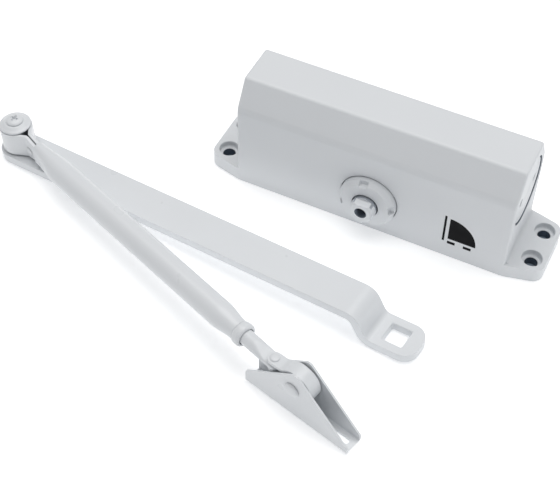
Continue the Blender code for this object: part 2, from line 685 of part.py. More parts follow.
def elbow_stack(elbow):
    """Bush, flanged cap and cross-head screw on the elbow's axis."""
    shank = SCREW_SHANK_RADIUS
    bush_top = STRAP_FLOOR + STRAP_HEIGHT
    bush = turned("elbow_bush", [
        (BUSH_RADIUS, bush_top), (BUSH_RADIUS, STRAP_FLOOR), (shank + GAP, STRAP_FLOOR),
        (shank + GAP, bush_top)], ring=True)
    dress(bush, STEEL, parent=elbow)
    cap_top = CAP_FLOOR + CAP_RIM + CAP_RISE
    cap = turned("elbow_cap", [
        (shank + GAP, cap_top), (SCREW_TOP_RADIUS + 0.9 * MM, cap_top),
        (CAP_RADIUS - 0.8 * MM, CAP_FLOOR + CAP_RIM), (CAP_RADIUS, CAP_FLOOR + CAP_RIM - 0.4 * MM),
        (CAP_RADIUS, CAP_FLOOR + 0.3 * MM), (CAP_RADIUS - 0.3 * MM, CAP_FLOOR),
        (shank + GAP, CAP_FLOOR),
    ], ring=True)
    dress(cap, WHITE, parent=elbow)
    low = cap_top + HAIR
    top = low + SCREW_TOP_HEIGHT
    screw = turned("elbow_screw", [
        (0, top), (SCREW_TOP_RADIUS - 1.4 * MM, top - 0.1 * MM),
        (SCREW_TOP_RADIUS - 0.4 * MM, top - 0.55 * MM), (SCREW_TOP_RADIUS, low + 0.4 * MM),
        (SCREW_TOP_RADIUS, low), (shank, low), (shank, 0.8 * MM), (shank - 0.4 * MM, 0.4 * MM),
        (0, 0.4 * MM),
    ])
    dress(screw, STEEL, parent=elbow)
    cross = [block("cross", (5.0 * MM, 1.1 * MM, 2.4 * MM),
                   at(z=top) @ Matrix.Rotation(radians(turn), 4, "Z"), elbow) for turn in (20, 110)]
    combine(screw, cross)


def elbow_strap(forearm):
    """Sheet strap wrapped round the bush, its two tails side by side inside the tube."""
    middle = STRAP_RADIUS - SHEET / 2
    tail = SHEET / 2 + GAP
    toward = atan2(tail, STRAP_TAIL_START)
    reach = sqrt(STRAP_TAIL_START ** 2 + tail ** 2)
    touch = acos(middle / reach) + toward     # where the tail's slope leaves the ring
    upper = [Vector((STRAP_TAIL_END, tail)), Vector((STRAP_TAIL_START, tail))]
    steps = 20
    ring = [Vector((cos(a), sin(a))) * middle for a in
            (touch + (2 * pi - 2 * touch) * i / steps for i in range(steps + 1))]
    lower = [Vector((STRAP_TAIL_START, -tail)), Vector((STRAP_TAIL_END, -tail))]
    strap = plate("elbow_strap", band(upper + ring + lower, SHEET), STRAP_HEIGHT)
    dress(strap, WHITE, parent=forearm)
    size = (2 * STRAP_TAIL_END, 4 * STRAP_RADIUS, STRAP_HEIGHT)
    first = STRAP_TAIL_START + 1.5 * MM
    slope = atan2((STRAP_HEIGHT - STRAP_TAIL_HEIGHT) / 2, TUBE_START - first)
    cuts = [block("tail_trim", size, at(first, 0, side * STRAP_HEIGHT / 2)
                  @ Matrix.Rotation(side * slope, 4, "Y") @ at(STRAP_TAIL_END, 0, side * STRAP_HEIGHT / 2),
                  forearm) for side in (-1, 1)]
    spot = at(STRAP_TAIL_START + 2.7 * MM, 0, -1.5 * MM) @ ALONG_FRONT
    cuts.append(bar("strap_rivet_hole", RIVET_RADIUS + GAP, 20 * MM, spot, forearm, segments=16))
    combine(strap, cuts)
    face = tail + SHEET / 2 + HAIR
    rivet(forearm, "strap_rivet", face, 0.5 * MM, spot)


def rivet(parent, name, face, head, matrix):
    """Rivet through faces at +face and -face of local Z."""
    wide = RIVET_RADIUS + 0.8 * MM
    piece = turned(name, [
        (0, face + head), (wide - 0.4 * MM, face + head), (wide, face + head * 0.4), (wide, face),
        (RIVET_RADIUS, face), (RIVET_RADIUS, -face), (wide, -face), (wide, -face - head * 0.4),
        (wide - 0.4 * MM, -face - head), (0, -face - head),
    ], segments=16)
    return dress(piece, STEEL, matrix, parent)


def forearm_tube(forearm):
    """Tube pressed flat where it grips the strap and drawn down to a neck at its mouth."""
    count, steps = 20, 4
    stations = []
    for i in range(steps + 1):
        share = i / steps
        ease = share * share * (3 - 2 * share)
        stations.append((TUBE_START + (TUBE_ROUND_FROM - TUBE_START) * share,
                         TUBE_MOUTH_HALF_WIDTH + (TUBE_RADIUS - TUBE_MOUTH_HALF_WIDTH) * ease,
                         TUBE_MOUTH_HALF_HEIGHT + (TUBE_RADIUS - TUBE_MOUTH_HALF_HEIGHT) * ease))
    for i in range(steps + 1):
        share = i / steps
        ease = share * share * (3 - 2 * share)
        radius = TUBE_RADIUS + (NECK_RADIUS - TUBE_RADIUS) * ease
        stations.append((TUBE_CONE_FROM + (TUBE_END - TUBE_CONE_FROM) * share, radius, radius))
    work = bmesh.new()
    loops = []
    for x, wide, high in stations:
        corner = min(wide, high)
        loop = []
        for i in range(count):
            angle = 2 * pi * (i + 0.5) / count
            y = corner * cos(angle) + (wide - corner) * (1 if cos(angle) > 0 else -1)
            z = corner * sin(angle) + (high - corner) * (1 if sin(angle) > 0 else -1)
            loop.append(work.verts.new((x, y, z)))
        loops.append(loop)
    for one, two in zip(loops, loops[1:]):
        for i in range(count):
            j = (i + 1) % count
            work.faces.new((one[i], two[i], two[j], one[j]))
    bmesh.ops.recalc_face_normals(work, faces=work.faces)
    mesh = bpy.data.meshes.new("forearm_tube")
    work.to_mesh(mesh)
    work.free()
    tube = new_object("forearm_tube", mesh, True)
    shell = tube.modifiers.new("Wall", "SOLIDIFY")
    shell.thickness = TUBE_WALL
    shell.offset = -1
    dress(tube, WHITE, parent=forearm)

    r, bore = LOCK_COLLAR_RADIUS, ROD_RADIUS + 0.45 * MM
    length = LOCK_COLLAR_LENGTH
    collar = turned("lock_collar", [
        (bore, length), (r - 1.0 * MM, length), (r - 0.3 * MM, length - 0.5 * MM),
        (r, length - 1.3 * MM), (r, 1.0 * MM), (r - 0.5 * MM, 0), (bore, 0)], ring=True)
    dress(collar, WHITE, at(TUBE_END + HAIR) @ ALONG_X, forearm)


def adjusting_rod(rod):
    """Round rod whose outer end is pressed to a flat eye; the origin is the link rivet."""
    start = TUBE_END - ROD_INSIDE - LINK_PIN
    neck, blunt = -10.5 * MM, -6.0 * MM
    shank = turned("adjusting_rod", [
        (0, blunt), (ROD_FLAT * 0.42, blunt), (ROD_RADIUS * 0.75, (neck + blunt) / 2),
        (ROD_RADIUS, neck), (ROD_RADIUS, start + 0.6 * MM), (ROD_RADIUS - 0.6 * MM, start), (0, start),
    ])
    dress(shank, WHITE, ALONG_X, rod)
    eye = plate("rod_eye", rounded([
        (neck - 2 * MM, ROD_RADIUS * 0.8, 0), (neck - 2 * MM, -ROD_RADIUS * 0.8, 0),
        (-5 * MM, -ROD_END_RADIUS, 3 * MM),
        (ROD_END_RADIUS, -ROD_END_RADIUS, ROD_END_RADIUS * 0.999),
        (ROD_END_RADIUS, ROD_END_RADIUS, ROD_END_RADIUS * 0.999),
        (-5 * MM, ROD_END_RADIUS, 3 * MM)]), ROD_FLAT, keep=False)
    put(eye, Matrix(), rod)
    combine(shank, [eye], "UNION")
    combine(shank, [bar("eye_hole", RIVET_RADIUS + GAP, 20 * MM, Matrix(), rod, segments=16)])


def folded_link(link, barrel_drop):
    """Strip folded round the shoe's barrel, its two leaves on either side of the rod's eye."""
    leaf = ROD_FLAT / 2 + GAP + LINK_SHEET / 2
    middle = BARREL_RADIUS - LINK_SHEET / 2
    centre = Vector((LINK_LENGTH, barrel_drop))
    tip = -LINK_WIDTH / 2
    first = pi - atan2(leaf - barrel_drop, sqrt(middle ** 2 - (leaf - barrel_drop) ** 2))
    last = -pi + radians(6)
    steps = 20
    wrap = [centre + Vector((cos(a), sin(a))) * middle for a in
            (first + (last - first) * i / steps for i in range(steps + 1))]
    path = [Vector((tip - 2 * MM, leaf)), Vector((wrap[0].x - 2.2 * MM, leaf))] + wrap[1:-1]
    path += [Vector((wrap[-1].x - 1.6 * MM, -leaf)), Vector((tip - 2 * MM, -leaf))]
    strip = plate("link_strap", band(path, LINK_SHEET), LINK_WIDTH + 2 * MM)
    dress(strip, WHITE, SIDE_ON, link)
    half = LINK_WIDTH / 2
    outline = rounded([
        (tip, half, half * 0.999), (tip, -half, half * 0.999),
        (LINK_LENGTH * 2, -half, 0), (LINK_LENGTH * 2, half, 0)], steps=7)
    trim = plate("leaf_outline", outline, 60 * MM, keep=False)
    put(trim, Matrix(), link)
    combine(strip, [trim], "INTERSECT")
    combine(strip, [bar("leaf_hole", RIVET_RADIUS + GAP, 14 * MM, Matrix(), link, segments=16)])
    rivet(link, "link_rivet", leaf + LINK_SHEET / 2 + HAIR, 0.5 * MM, Matrix())

    outer, inner = BARREL_RADIUS - LINK_SHEET - GAP, PIN_RADIUS + GAP
    bush = turned("link_bush", [(outer, half), (outer, -half), (inner, -half), (inner, half)], ring=True)
    dress(bush, STEEL, at(LINK_LENGTH, 0, barrel_drop) @ ALONG_FRONT, link)


def shoe(bracket):
    """Channel bracket that screws to the frame; its origin is the pin's axis."""
    tip, floor = -SHOE_PIN_FROM_TIP, -PIN_HEIGHT
    end = tip + SHOE_LENGTH
    side_view = rounded([
        (tip, floor, 2.2 * MM),
        (end, floor, 1.5 * MM),
        (end - 0.2 * MM, floor + 4.0 * MM, 1.8 * MM),
        (tip + 28.5 * MM, floor + SHOE_PEAK, 2.4 * MM),
        (tip, floor + 8.2 * MM, 2.4 * MM),
    ])
    channel = plate("shoe_bracket", u_section(), 3 * SHOE_LENGTH)
    dress(channel, WHITE, at(z=floor) @ END_ON, bracket)
    trim = plate("ear_outline", side_view, 2 * SHOE_WIDTH, keep=False)
    put(trim, SIDE_ON, bracket)
    combine(channel, [trim], "INTERSECT")
    width, length = SHOE_SLOT
    stretch = (length - width) / 2
    slot = plate("slot", rounded([
        (-length / 2, width / 2, width * 0.499), (-length / 2, -width / 2, width * 0.499),
        (length / 2, -width / 2, width * 0.499), (length / 2, width / 2, width * 0.499)]),
        4 * SHOE_SHEET, keep=False)
    put(slot, at(end - 3.0 * MM - stretch - width / 2, 0, floor), bracket)
    cuts = [slot,
            bar("screw_hole", 2.3 * MM, 4 * SHOE_SHEET, at(tip + 12 * MM, 0, floor), bracket, segments=20),
            bar("pin_hole", PIN_RADIUS + GAP, 3 * SHOE_WIDTH, ALONG_FRONT, bracket)]
    combine(channel, cuts)

    face = SHOE_WIDTH / 2 + HAIR
    far = face + PIN_HEAD
    pin = turned("shoe_pin", [
        (0, far), (PIN_HEAD_RADIUS - 0.7 * MM, far), (PIN_HEAD_RADIUS, far - 0.6 * MM),
        (PIN_HEAD_RADIUS, face), (PIN_RADIUS, face), (PIN_RADIUS, -face), (PIN_HEAD_RADIUS, -face),
        (PIN_HEAD_RADIUS, 0.6 * MM - far), (PIN_HEAD_RADIUS - 0.7 * MM, -far), (0, -far),
    ])
    dress(pin, WHITE, ALONG_FRONT, bracket)
    inside = SHOE_WIDTH / 2 - SHOE_SHEET
    room = inside - LINK_WIDTH / 2
    for name, side in (("shoe_washer_front", -1), ("shoe_washer_back", 1)):
        thick = room - 2 * HAIR
        washer = turned(name, [
            (5.0 * MM, thick / 2), (5.0 * MM, -thick / 2), (PIN_RADIUS + HAIR, -thick / 2),
            (PIN_RADIUS + HAIR, thick / 2)], ring=True)
        middle = side * (inside - HAIR - thick / 2)
        dress(washer, DARK_STEEL, at(0, middle, 0) @ ALONG_FRONT, bracket)


def u_section():
    """Cross-section of the shoe: a web with two legs and rounded bends."""
    out, wall = SHOE_WIDTH / 2, SHOE_SHEET
    top = 2 * PIN_HEIGHT
    return rounded([
        (-out, 0, wall), (out, 0, wall), (out, top, 0), (out - wall, top, 0),
        (out - wall, wall, 0.5 * wall), (wall - out, wall, 0.5 * wall), (wall - out, top, 0),
        (-out, top, 0)])


# ---------------------------------------------------------------- assembly
def axes(origin, x_axis, z_axis):
    """Matrix with the given X, and Z made square to it."""
    x = Vector(x_axis).normalized()
    z = Vector(z_axis)
    z = (z - x * z.dot(x)).normalized()
    y = z.cross(x)
    matrix = Matrix((x, y, z)).transposed().to_4x4()
    matrix.translation = origin
    return matrix


def heading(plan, rise):
    return Vector((cos(plan) * cos(rise), sin(plan) * cos(rise), sin(rise)))


def build():
    global parts, cutters
    for obj in list(bpy.data.objects):
        bpy.data.objects.remove(obj)
    parts = bpy.data.collections.new("door_closer")
    cutters = bpy.data.collections.new("cutters")
    bpy.context.scene.collection.children.link(parts)
    bpy.context.scene.collection.children.link(cutters)

    housing()
    end_plug("end_plug_left", -1, (-9 * MM, 9 * MM))
    end_plug("end_plug_right", 1, (-9 * MM, 9 * MM))
    for word, side in (("front", -1), ("back", 1)):
        spindle_collar("spindle_collar_" + word, side)
        bearing("spindle_bearing_" + word, side)
    spindle()
    piston()
    closing_spring()
    valve_screw("valve_screw_closing", -1)
    valve_screw("valve_screw_latching", 1)

    lift = MAIN_ARM_WIDTH / 2 * sin(MAIN_ARM_TILT)
    foot = Vector((ELBOW_PLACE[0], ELBOW_PLACE[1], lift))
    along = heading(MAIN_ARM_ANGLE, MAIN_ARM_TILT)
    pivot = empty("main_arm_axes", axes(foot, along, (0, 0, 1)))
    main_arm(pivot)

    tube_way = heading(FOREARM_ANGLE, FOREARM_RISE)
    arm_up = axes(foot, along, (0, 0, 1)).to_3x3() @ Vector((0, 0, 1))
    elbow_frame = axes(foot, tube_way, arm_up)
    elbow = empty("elbow_axes", elbow_frame)
    elbow_stack(elbow)
    elbow_up = elbow_frame.to_3x3() @ Vector((0, 0, 1))
    start = foot + elbow_up * FOREARM_AXIS_HEIGHT
    forearm = empty("forearm_axes", axes(start, tube_way, arm_up))
    elbow_strap(forearm)
    forearm_tube(forearm)

    shoe_way = heading(SHOE_ANGLE, 0)
    across = Vector((0, 0, 1)).cross(shoe_way)
    eye = start + tube_way * LINK_PIN
    rod_up = tube_way.cross(across).normalized()
    rod = empty("rod_axes", axes(eye, tube_way, rod_up))
    adjusting_rod(rod)
    link_way = across.cross(rod_up)
    link = empty("link_axes", axes(eye, link_way, rod_up))
    barrel_drop = (PIN_HEIGHT - eye.z - LINK_LENGTH * link_way.z) / rod_up.z
    folded_link(link, barrel_drop)
    pin = eye + link_way * LINK_LENGTH + rod_up * barrel_drop
    bracket = empty("shoe_axes", axes(pin, shoe_way, (0, 0, 1)))
    shoe(bracket)


build()
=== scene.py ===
# Door closer with its loose folding arm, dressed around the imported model
import json
from math import acos, atan2, cos, pi, radians, sin, sqrt, tan

import bmesh
import bpy
from mathutils import Matrix, Vector


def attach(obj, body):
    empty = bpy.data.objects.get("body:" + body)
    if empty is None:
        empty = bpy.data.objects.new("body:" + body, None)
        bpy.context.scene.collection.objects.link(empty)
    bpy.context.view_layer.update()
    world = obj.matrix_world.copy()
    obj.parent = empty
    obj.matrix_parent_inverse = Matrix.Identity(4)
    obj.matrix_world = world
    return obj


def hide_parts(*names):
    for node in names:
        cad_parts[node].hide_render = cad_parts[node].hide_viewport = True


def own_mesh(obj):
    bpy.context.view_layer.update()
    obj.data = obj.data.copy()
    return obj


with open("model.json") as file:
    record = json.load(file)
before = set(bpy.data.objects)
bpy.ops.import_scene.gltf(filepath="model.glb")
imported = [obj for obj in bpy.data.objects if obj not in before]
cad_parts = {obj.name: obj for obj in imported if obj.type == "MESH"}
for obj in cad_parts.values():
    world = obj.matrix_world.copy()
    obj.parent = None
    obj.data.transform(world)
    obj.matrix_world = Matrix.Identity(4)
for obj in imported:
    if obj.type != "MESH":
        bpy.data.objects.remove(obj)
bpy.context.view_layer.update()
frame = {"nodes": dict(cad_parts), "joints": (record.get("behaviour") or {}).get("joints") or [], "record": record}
scene = bpy.context.scene

mm = 0.001
hair = 0.15 * mm      # air under rivet heads and washers
gap = 0.3 * mm        # air between fitted pieces
weld = 0.001 * mm     # points closer than this are one


# ---- camera and studio
camera = {
    "place": (0.1416, -0.4197, 0.4854),
    "forward": (-0.2726, 0.5792, -0.7683),
    "right": (0.8988, 0.4381, 0.0113),
    "lens": 83.97,
    "sensor": 36.0,
}


def addCamera():
    forward = Vector(camera["forward"]).normalized()
    right = Vector(camera["right"])
    right = (right - forward * right.dot(forward)).normalized()
    up = right.cross(forward)
    data = bpy.data.cameras.new("camera")
    data.lens = camera["lens"]
    data.sensor_width = camera["sensor"]
    data.sensor_fit = "HORIZONTAL"
    data.clip_start = 0.01
    eye = bpy.data.objects.new("camera", data)
    scene.collection.objects.link(eye)
    turn = Matrix((right, up, -forward)).transposed().to_4x4()
    eye.matrix_world = Matrix.Translation(camera["place"]) @ turn
    scene.camera = eye


studio = {
    "floorSize": 6.0,
    "floorColour": (0.97, 0.975, 0.98, 1),
    "floorGlow": 0.34,
    "sky": (0.965, 0.978, 1.0, 1),
    "skyStrength": 0.33,
    "paintedShadeCard": (0.172, 0.026),      # a dark card under the body, seen only through the screw holes: painted shade in the holes, and it keeps the floor glow out of them
    "paintedShadeColour": (0.33, 0.40, 0.48, 1),
    "lamps": [
        # name, place, aimed at, width, height, watts, colour
        ("topSoftbox", (-0.1, 0.25, 1.7), (-0.04, -0.03, 0.0), 1.8, 1.3, 21.6, (1.0, 0.988, 0.975)),
        ("rightStrip", (1.3, 0.0, 0.5), (0.02, -0.02, 0.03), 0.5, 0.9, 1.6, (0.93, 0.97, 1.0)),
    ],
}


def stageSheet(name, size, height, colour, glow):
    bm = bmesh.new()
    bmesh.ops.create_grid(bm, x_segments=1, y_segments=1, size=0.5)
    bmesh.ops.scale(bm, vec=(size[0], size[1], 1), verts=bm.verts)
    mesh = bpy.data.meshes.new(name)
    bm.to_mesh(mesh)
    bm.free()
    sheet = bpy.data.objects.new(name, mesh)
    scene.collection.objects.link(sheet)
    sheet.location.z = height
    material = bpy.data.materials.new(name)
    material.use_nodes = True
    shader = material.node_tree.nodes["Principled BSDF"]
    shader.inputs["Base Color"].default_value = colour
    shader.inputs["Roughness"].default_value = 0.9
    shader.inputs["Specular IOR Level"].default_value = 0.1
    shader.inputs["Emission Color"].default_value = (1, 1, 1, 1)
    shader.inputs["Emission Strength"].default_value = glow
    mesh.materials.append(material)


def addStudio():
    side = studio["floorSize"]
    stageSheet("studioFloor", (side, side), -0.0002, studio["floorColour"], studio["floorGlow"])
    # the dark card paints the shade seen inside the screw holes
    stageSheet("paintedShadeCard", studio["paintedShadeCard"], -0.0001, studio["paintedShadeColour"], 0.0)

    sky = bpy.data.worlds.new("softSky")
    sky.use_nodes = True
    back = sky.node_tree.nodes["Background"]
    back.inputs["Color"].default_value = studio["sky"]
    back.inputs["Strength"].default_value = studio["skyStrength"]
    scene.world = sky
    for name, place, target, width, height, watts, colour in studio["lamps"]:
        light = bpy.data.lights.new(name, "AREA")
        light.shape = "RECTANGLE"
        light.size, light.size_y = width, height
        light.energy = watts
        light.color = colour
        lamp = bpy.data.objects.new(name, light)
        scene.collection.objects.link(lamp)
        lamp.location = place
        lamp.rotation_euler = (Vector(target) - Vector(place)).to_track_quat("-Z", "Y").to_euler()
    scene.view_settings.view_transform = "Standard"
    scene.view_settings.look = "None"


addCamera()
addStudio()
print("camera and studio in place")


# ---- finishes
def newGroup(name, inputs, outputs):
    group = bpy.data.node_groups.new(name, "ShaderNodeTree")
    for socketName, kind, value in inputs:
        socket = group.interface.new_socket(socketName, in_out="INPUT", socket_type=kind)
        if value is not None:
            socket.default_value = value
    for socketName, kind in outputs:
        group.interface.new_socket(socketName, in_out="OUTPUT", socket_type=kind)
    start = group.nodes.new("NodeGroupInput")
    end = group.nodes.new("NodeGroupOutput")
    return group, start, end


def feed(tree, socket, value):
    # a socket takes either a fixed value or another node's output
    if isinstance(value, (int, float, tuple)):
        socket.default_value = value
    else:
        tree.links.new(value, socket)


def noiseNode(tree, vector, scale, detail=2.0, rough=0.5):
    node = tree.nodes.new("ShaderNodeTexNoise")
    node.inputs["Detail"].default_value = detail
    node.inputs["Roughness"].default_value = rough
    feed(tree, node.inputs["Scale"], scale)
    tree.links.new(vector, node.inputs["Vector"])
    return node.outputs["Fac"]


def mathNode(tree, operation, first, second):
    node = tree.nodes.new("ShaderNodeMath")
    node.operation = operation
    feed(tree, node.inputs[0], first)
    feed(tree, node.inputs[1], second)
    return node.outputs[0]


def spread(tree, value, low, high, fromLow, fromHigh):
    node = tree.nodes.new("ShaderNodeMapRange")
    tree.links.new(value, node.inputs["Value"])
    node.inputs["From Min"].default_value = fromLow
    node.inputs["From Max"].default_value = fromHigh
    feed(tree, node.inputs["To Min"], low)
    feed(tree, node.inputs["To Max"], high)
    return node.outputs["Result"]


def mixColours(tree, share, first, second):
    node = tree.nodes.new("ShaderNodeMix")
    node.data_type = "RGBA"
    tree.links.new(share, node.inputs["Factor"])
    feed(tree, node.inputs[6], first)      # colour sockets A and B
    feed(tree, node.inputs[7], second)
    return node.outputs[2]


def endGroup(group, end, colour, rough, height):
    group.links.new(colour, end.inputs["Color"])
    group.links.new(rough, end.inputs["Roughness"])
    group.links.new(height, end.inputs["Height"])
    return group


def makeSprayGroup():
    # sprayed powder: slow tone drift, orange peel, fine sand and rare darker specks
    group, start, end = newGroup("sprayedPowder", [
        ("Vector", "NodeSocketVector", None),
        ("Tone", "NodeSocketColor", (0.8, 0.8, 0.8, 1)),
        ("Drift", "NodeSocketColor", (0.75, 0.75, 0.75, 1)),
        ("Speck", "NodeSocketColor", (0.5, 0.5, 0.5, 1)),
        ("Peel Scale", "NodeSocketFloat", 700.0),
        ("Smoothest", "NodeSocketFloat", 0.3),
        ("Roughest", "NodeSocketFloat", 0.45),
    ], [("Color", "NodeSocketColor"), ("Roughness", "NodeSocketFloat"), ("Height", "NodeSocketFloat")])
    vector = start.outputs["Vector"]
    slow = spread(group, noiseNode(group, vector, 14.0, 3.0), 0.0, 1.0, 0.35, 0.65)
    tone = mixColours(group, slow, start.outputs["Tone"], start.outputs["Drift"])
    specks = noiseNode(group, vector, 1500.0, 1.0)
    speckMask = spread(group, specks, 0.0, 0.35, 0.76, 0.80)
    colour = mixColours(group, speckMask, tone, start.outputs["Speck"])
    peel = noiseNode(group, vector, start.outputs["Peel Scale"], 1.0, 0.4)
    fineScale = mathNode(group, "MULTIPLY", start.outputs["Peel Scale"], 3.1)
    fine = noiseNode(group, vector, fineScale, 2.0)
    height = mathNode(group, "ADD", peel, mathNode(group, "MULTIPLY", fine, 0.3))
    patchy = noiseNode(group, vector, 55.0, 2.0)
    rough = spread(group, patchy, start.outputs["Smoothest"], start.outputs["Roughest"], 0.3, 0.7)
    return endGroup(group, end, colour, rough, height)


def makeTurnedGroup():
    # turned or drawn metal: fine machining grain over a mottled tone
    group, start, end = newGroup("toolLines", [
        ("Vector", "NodeSocketVector", None),
        ("Tone", "NodeSocketColor", (0.6, 0.6, 0.6, 1)),
        ("Drift", "NodeSocketColor", (0.5, 0.5, 0.5, 1)),
        ("Line Scale", "NodeSocketFloat", 3000.0),
        ("Smoothest", "NodeSocketFloat", 0.2),
        ("Roughest", "NodeSocketFloat", 0.4),
    ], [("Color", "NodeSocketColor"), ("Roughness", "NodeSocketFloat"), ("Height", "NodeSocketFloat")])
    vector = start.outputs["Vector"]
    mottle = noiseNode(group, vector, 240.0, 4.0, 0.6)
    share = spread(group, mottle, 0.0, 1.0, 0.3, 0.7)
    colour = mixColours(group, share, start.outputs["Tone"], start.outputs["Drift"])
    lines = noiseNode(group, vector, start.outputs["Line Scale"], 1.0)
    rough = spread(group, mottle, start.outputs["Smoothest"], start.outputs["Roughest"], 0.3, 0.7)
    height = mathNode(group, "ADD", lines, mathNode(group, "MULTIPLY", mottle, 0.6))
    return endGroup(group, end, colour, rough, height)


sprayGroup = makeSprayGroup()
turnedGroup = makeTurnedGroup()


def finish(name, group, values, metallic=0.0, coat=0.0, bump=0.2, depth=0.02 * mm, specular=0.5):
    material = bpy.data.materials.new(name)
    material.use_nodes = True
    tree = material.node_tree
    shader = tree.nodes["Principled BSDF"]
    shader.inputs["Metallic"].default_value = metallic
    shader.inputs["Coat Weight"].default_value = coat
    shader.inputs["Coat Roughness"].default_value = 0.2
    shader.inputs["Specular IOR Level"].default_value = specular
    coords = tree.nodes.new("ShaderNodeTexCoord")
    effect = tree.nodes.new("ShaderNodeGroup")
    effect.node_tree = group
    tree.links.new(coords.outputs["Object"], effect.inputs["Vector"])
    for socketName, value in values.items():
        effect.inputs[socketName].default_value = value
    bumpNode = tree.nodes.new("ShaderNodeBump")
    bumpNode.inputs["Strength"].default_value = bump
    bumpNode.inputs["Distance"].default_value = depth
    tree.links.new(effect.outputs["Height"], bumpNode.inputs["Height"])
    tree.links.new(bumpNode.outputs["Normal"], shader.inputs["Normal"])
    tree.links.new(effect.outputs["Color"], shader.inputs["Base Color"])
    tree.links.new(effect.outputs["Roughness"], shader.inputs["Roughness"])
    return material


powder = finish("powderCoat", sprayGroup, {
    "Tone": (0.735, 0.755, 0.775, 1), "Drift": (0.715, 0.735, 0.757, 1), "Speck": (0.62, 0.65, 0.69, 1),
    "Peel Scale": 620.0, "Smoothest": 0.36, "Roughest": 0.46}, bump=0.35, depth=0.03 * mm)
armPowder = finish("armPowderCoat", sprayGroup, {
    "Tone": (0.752, 0.772, 0.792, 1), "Drift": (0.733, 0.755, 0.777, 1), "Speck": (0.64, 0.67, 0.71, 1),
    "Peel Scale": 760.0, "Smoothest": 0.27, "Roughest": 0.38}, bump=0.35, depth=0.03 * mm)
zinc = finish("zincPlate", turnedGroup, {
    "Tone": (0.62, 0.64, 0.67, 1), "Drift": (0.50, 0.53, 0.57, 1), "Line Scale": 2400.0,
    "Smoothest": 0.24, "Roughest": 0.4}, metallic=1.0, bump=0.25)
oiledSteel = finish("oiledSteel", turnedGroup, {
    "Tone": (0.22, 0.23, 0.25, 1), "Drift": (0.15, 0.16, 0.18, 1), "Line Scale": 2800.0,
    "Smoothest": 0.22, "Roughest": 0.42}, metallic=1.0, bump=0.3, coat=0.3)
turnedBrass = finish("turnedBrass", turnedGroup, {
    "Tone": (0.74, 0.56, 0.27, 1), "Drift": (0.62, 0.45, 0.2, 1), "Line Scale": 2600.0,
    "Smoothest": 0.2, "Roughest": 0.36}, metallic=1.0, bump=0.25)
nitrile = finish("nitrileRubber", sprayGroup, {
    "Tone": (0.022, 0.022, 0.024, 1), "Drift": (0.03, 0.03, 0.032, 1), "Speck": (0.06, 0.06, 0.06, 1),
    "Peel Scale": 1500.0, "Smoothest": 0.55, "Roughest": 0.75}, bump=0.3)
# dark bluish finish of bores, holes and taps: partly their bare machined metal, partly painted shade inside the
# holes
boreMetalAndShade = finish("boreMetalAndShade", turnedGroup, {
    "Tone": (0.16, 0.19, 0.23, 1), "Drift": (0.10, 0.12, 0.15, 1), "Line Scale": 2200.0,
    "Smoothest": 0.4, "Roughest": 0.6}, metallic=0.6, bump=0.3)
ink = finish("printInk", sprayGroup, {
    "Tone": (0.005, 0.005, 0.006, 1), "Drift": (0.008, 0.008, 0.009, 1), "Speck": (0.02, 0.02, 0.02, 1),
    "Peel Scale": 1400.0, "Smoothest": 0.7, "Roughest": 0.85}, bump=0.15, specular=0.12)
print("finishes made")


# ---- shop tools
def place(x=0.0, y=0.0, z=0.0):
    return Matrix.Translation((x, y, z))


def frameAt(origin, xAxis, zAxis):
    x = Vector(xAxis).normalized()
    z = Vector(zAxis)
    z = (z - x * z.dot(x)).normalized()
    matrix = Matrix((x, z.cross(x), z)).transposed().to_4x4()
    matrix.translation = Vector(origin)
    return matrix


alongX = Matrix.Rotation(pi / 2, 4, "Y")       # local Z to +X
alongFront = Matrix.Rotation(pi / 2, 4, "X")   # local Z to -Y
alongBack = Matrix.Rotation(-pi / 2, 4, "X")   # local Z to +Y
sideOn = Matrix(((1, 0, 0, 0), (0, 0, -1, 0), (0, 1, 0, 0), (0, 0, 0, 1)))
endOn = Matrix(((0, 0, 1, 0), (1, 0, 0, 0), (0, 1, 0, 0), (0, 0, 0, 1)))


def toPiece(name, bm, matrix=None, material=None, sharp=34):
    if matrix is not None:
        bmesh.ops.transform(bm, matrix=matrix, verts=bm.verts)
    bmesh.ops.remove_doubles(bm, verts=bm.verts, dist=weld)
    bmesh.ops.recalc_face_normals(bm, faces=bm.faces)
    mesh = bpy.data.meshes.new(name)
    bm.to_mesh(mesh)
    bm.free()
    piece = bpy.data.objects.new(name, mesh)
    scene.collection.objects.link(piece)
    if material is not None:
        mesh.materials.append(material)
    smooth(piece, sharp)
    return piece


def smooth(piece, sharp=34):
    mesh = piece.data
    mesh.shade_smooth()
    mesh.set_sharp_from_angle(angle=radians(sharp))


def turn(profile, steps=72, ring=False):
    bm = bmesh.new()
    verts = [bm.verts.new((radius, 0, height)) for radius, height in profile]
    edges = [bm.edges.new(pair) for pair in zip(verts, verts[1:])]
    if ring:
        edges.append(bm.edges.new((verts[-1], verts[0])))
    bmesh.ops.spin(bm, geom=verts + edges, axis=(0, 0, 1), cent=(0, 0, 0), steps=steps,
                   angle=2 * pi, use_merge=True)
    bmesh.ops.remove_doubles(bm, verts=bm.verts, dist=weld)
    bmesh.ops.recalc_face_normals(bm, faces=bm.faces)
    return bm


def roundEdges(bm, width, segments=3, angle=30, chosen=None):
    edges = [e for e in bm.edges if len(e.link_faces) == 2 and e.calc_face_angle(0.0) > radians(angle)
             and (chosen is None or chosen(e))]
    if edges:
        bmesh.ops.bevel(bm, geom=edges, offset=width, offset_type="OFFSET", segments=segments,
                        profile=0.5, affect="EDGES", material=-1, clamp_overlap=True)
    return bm


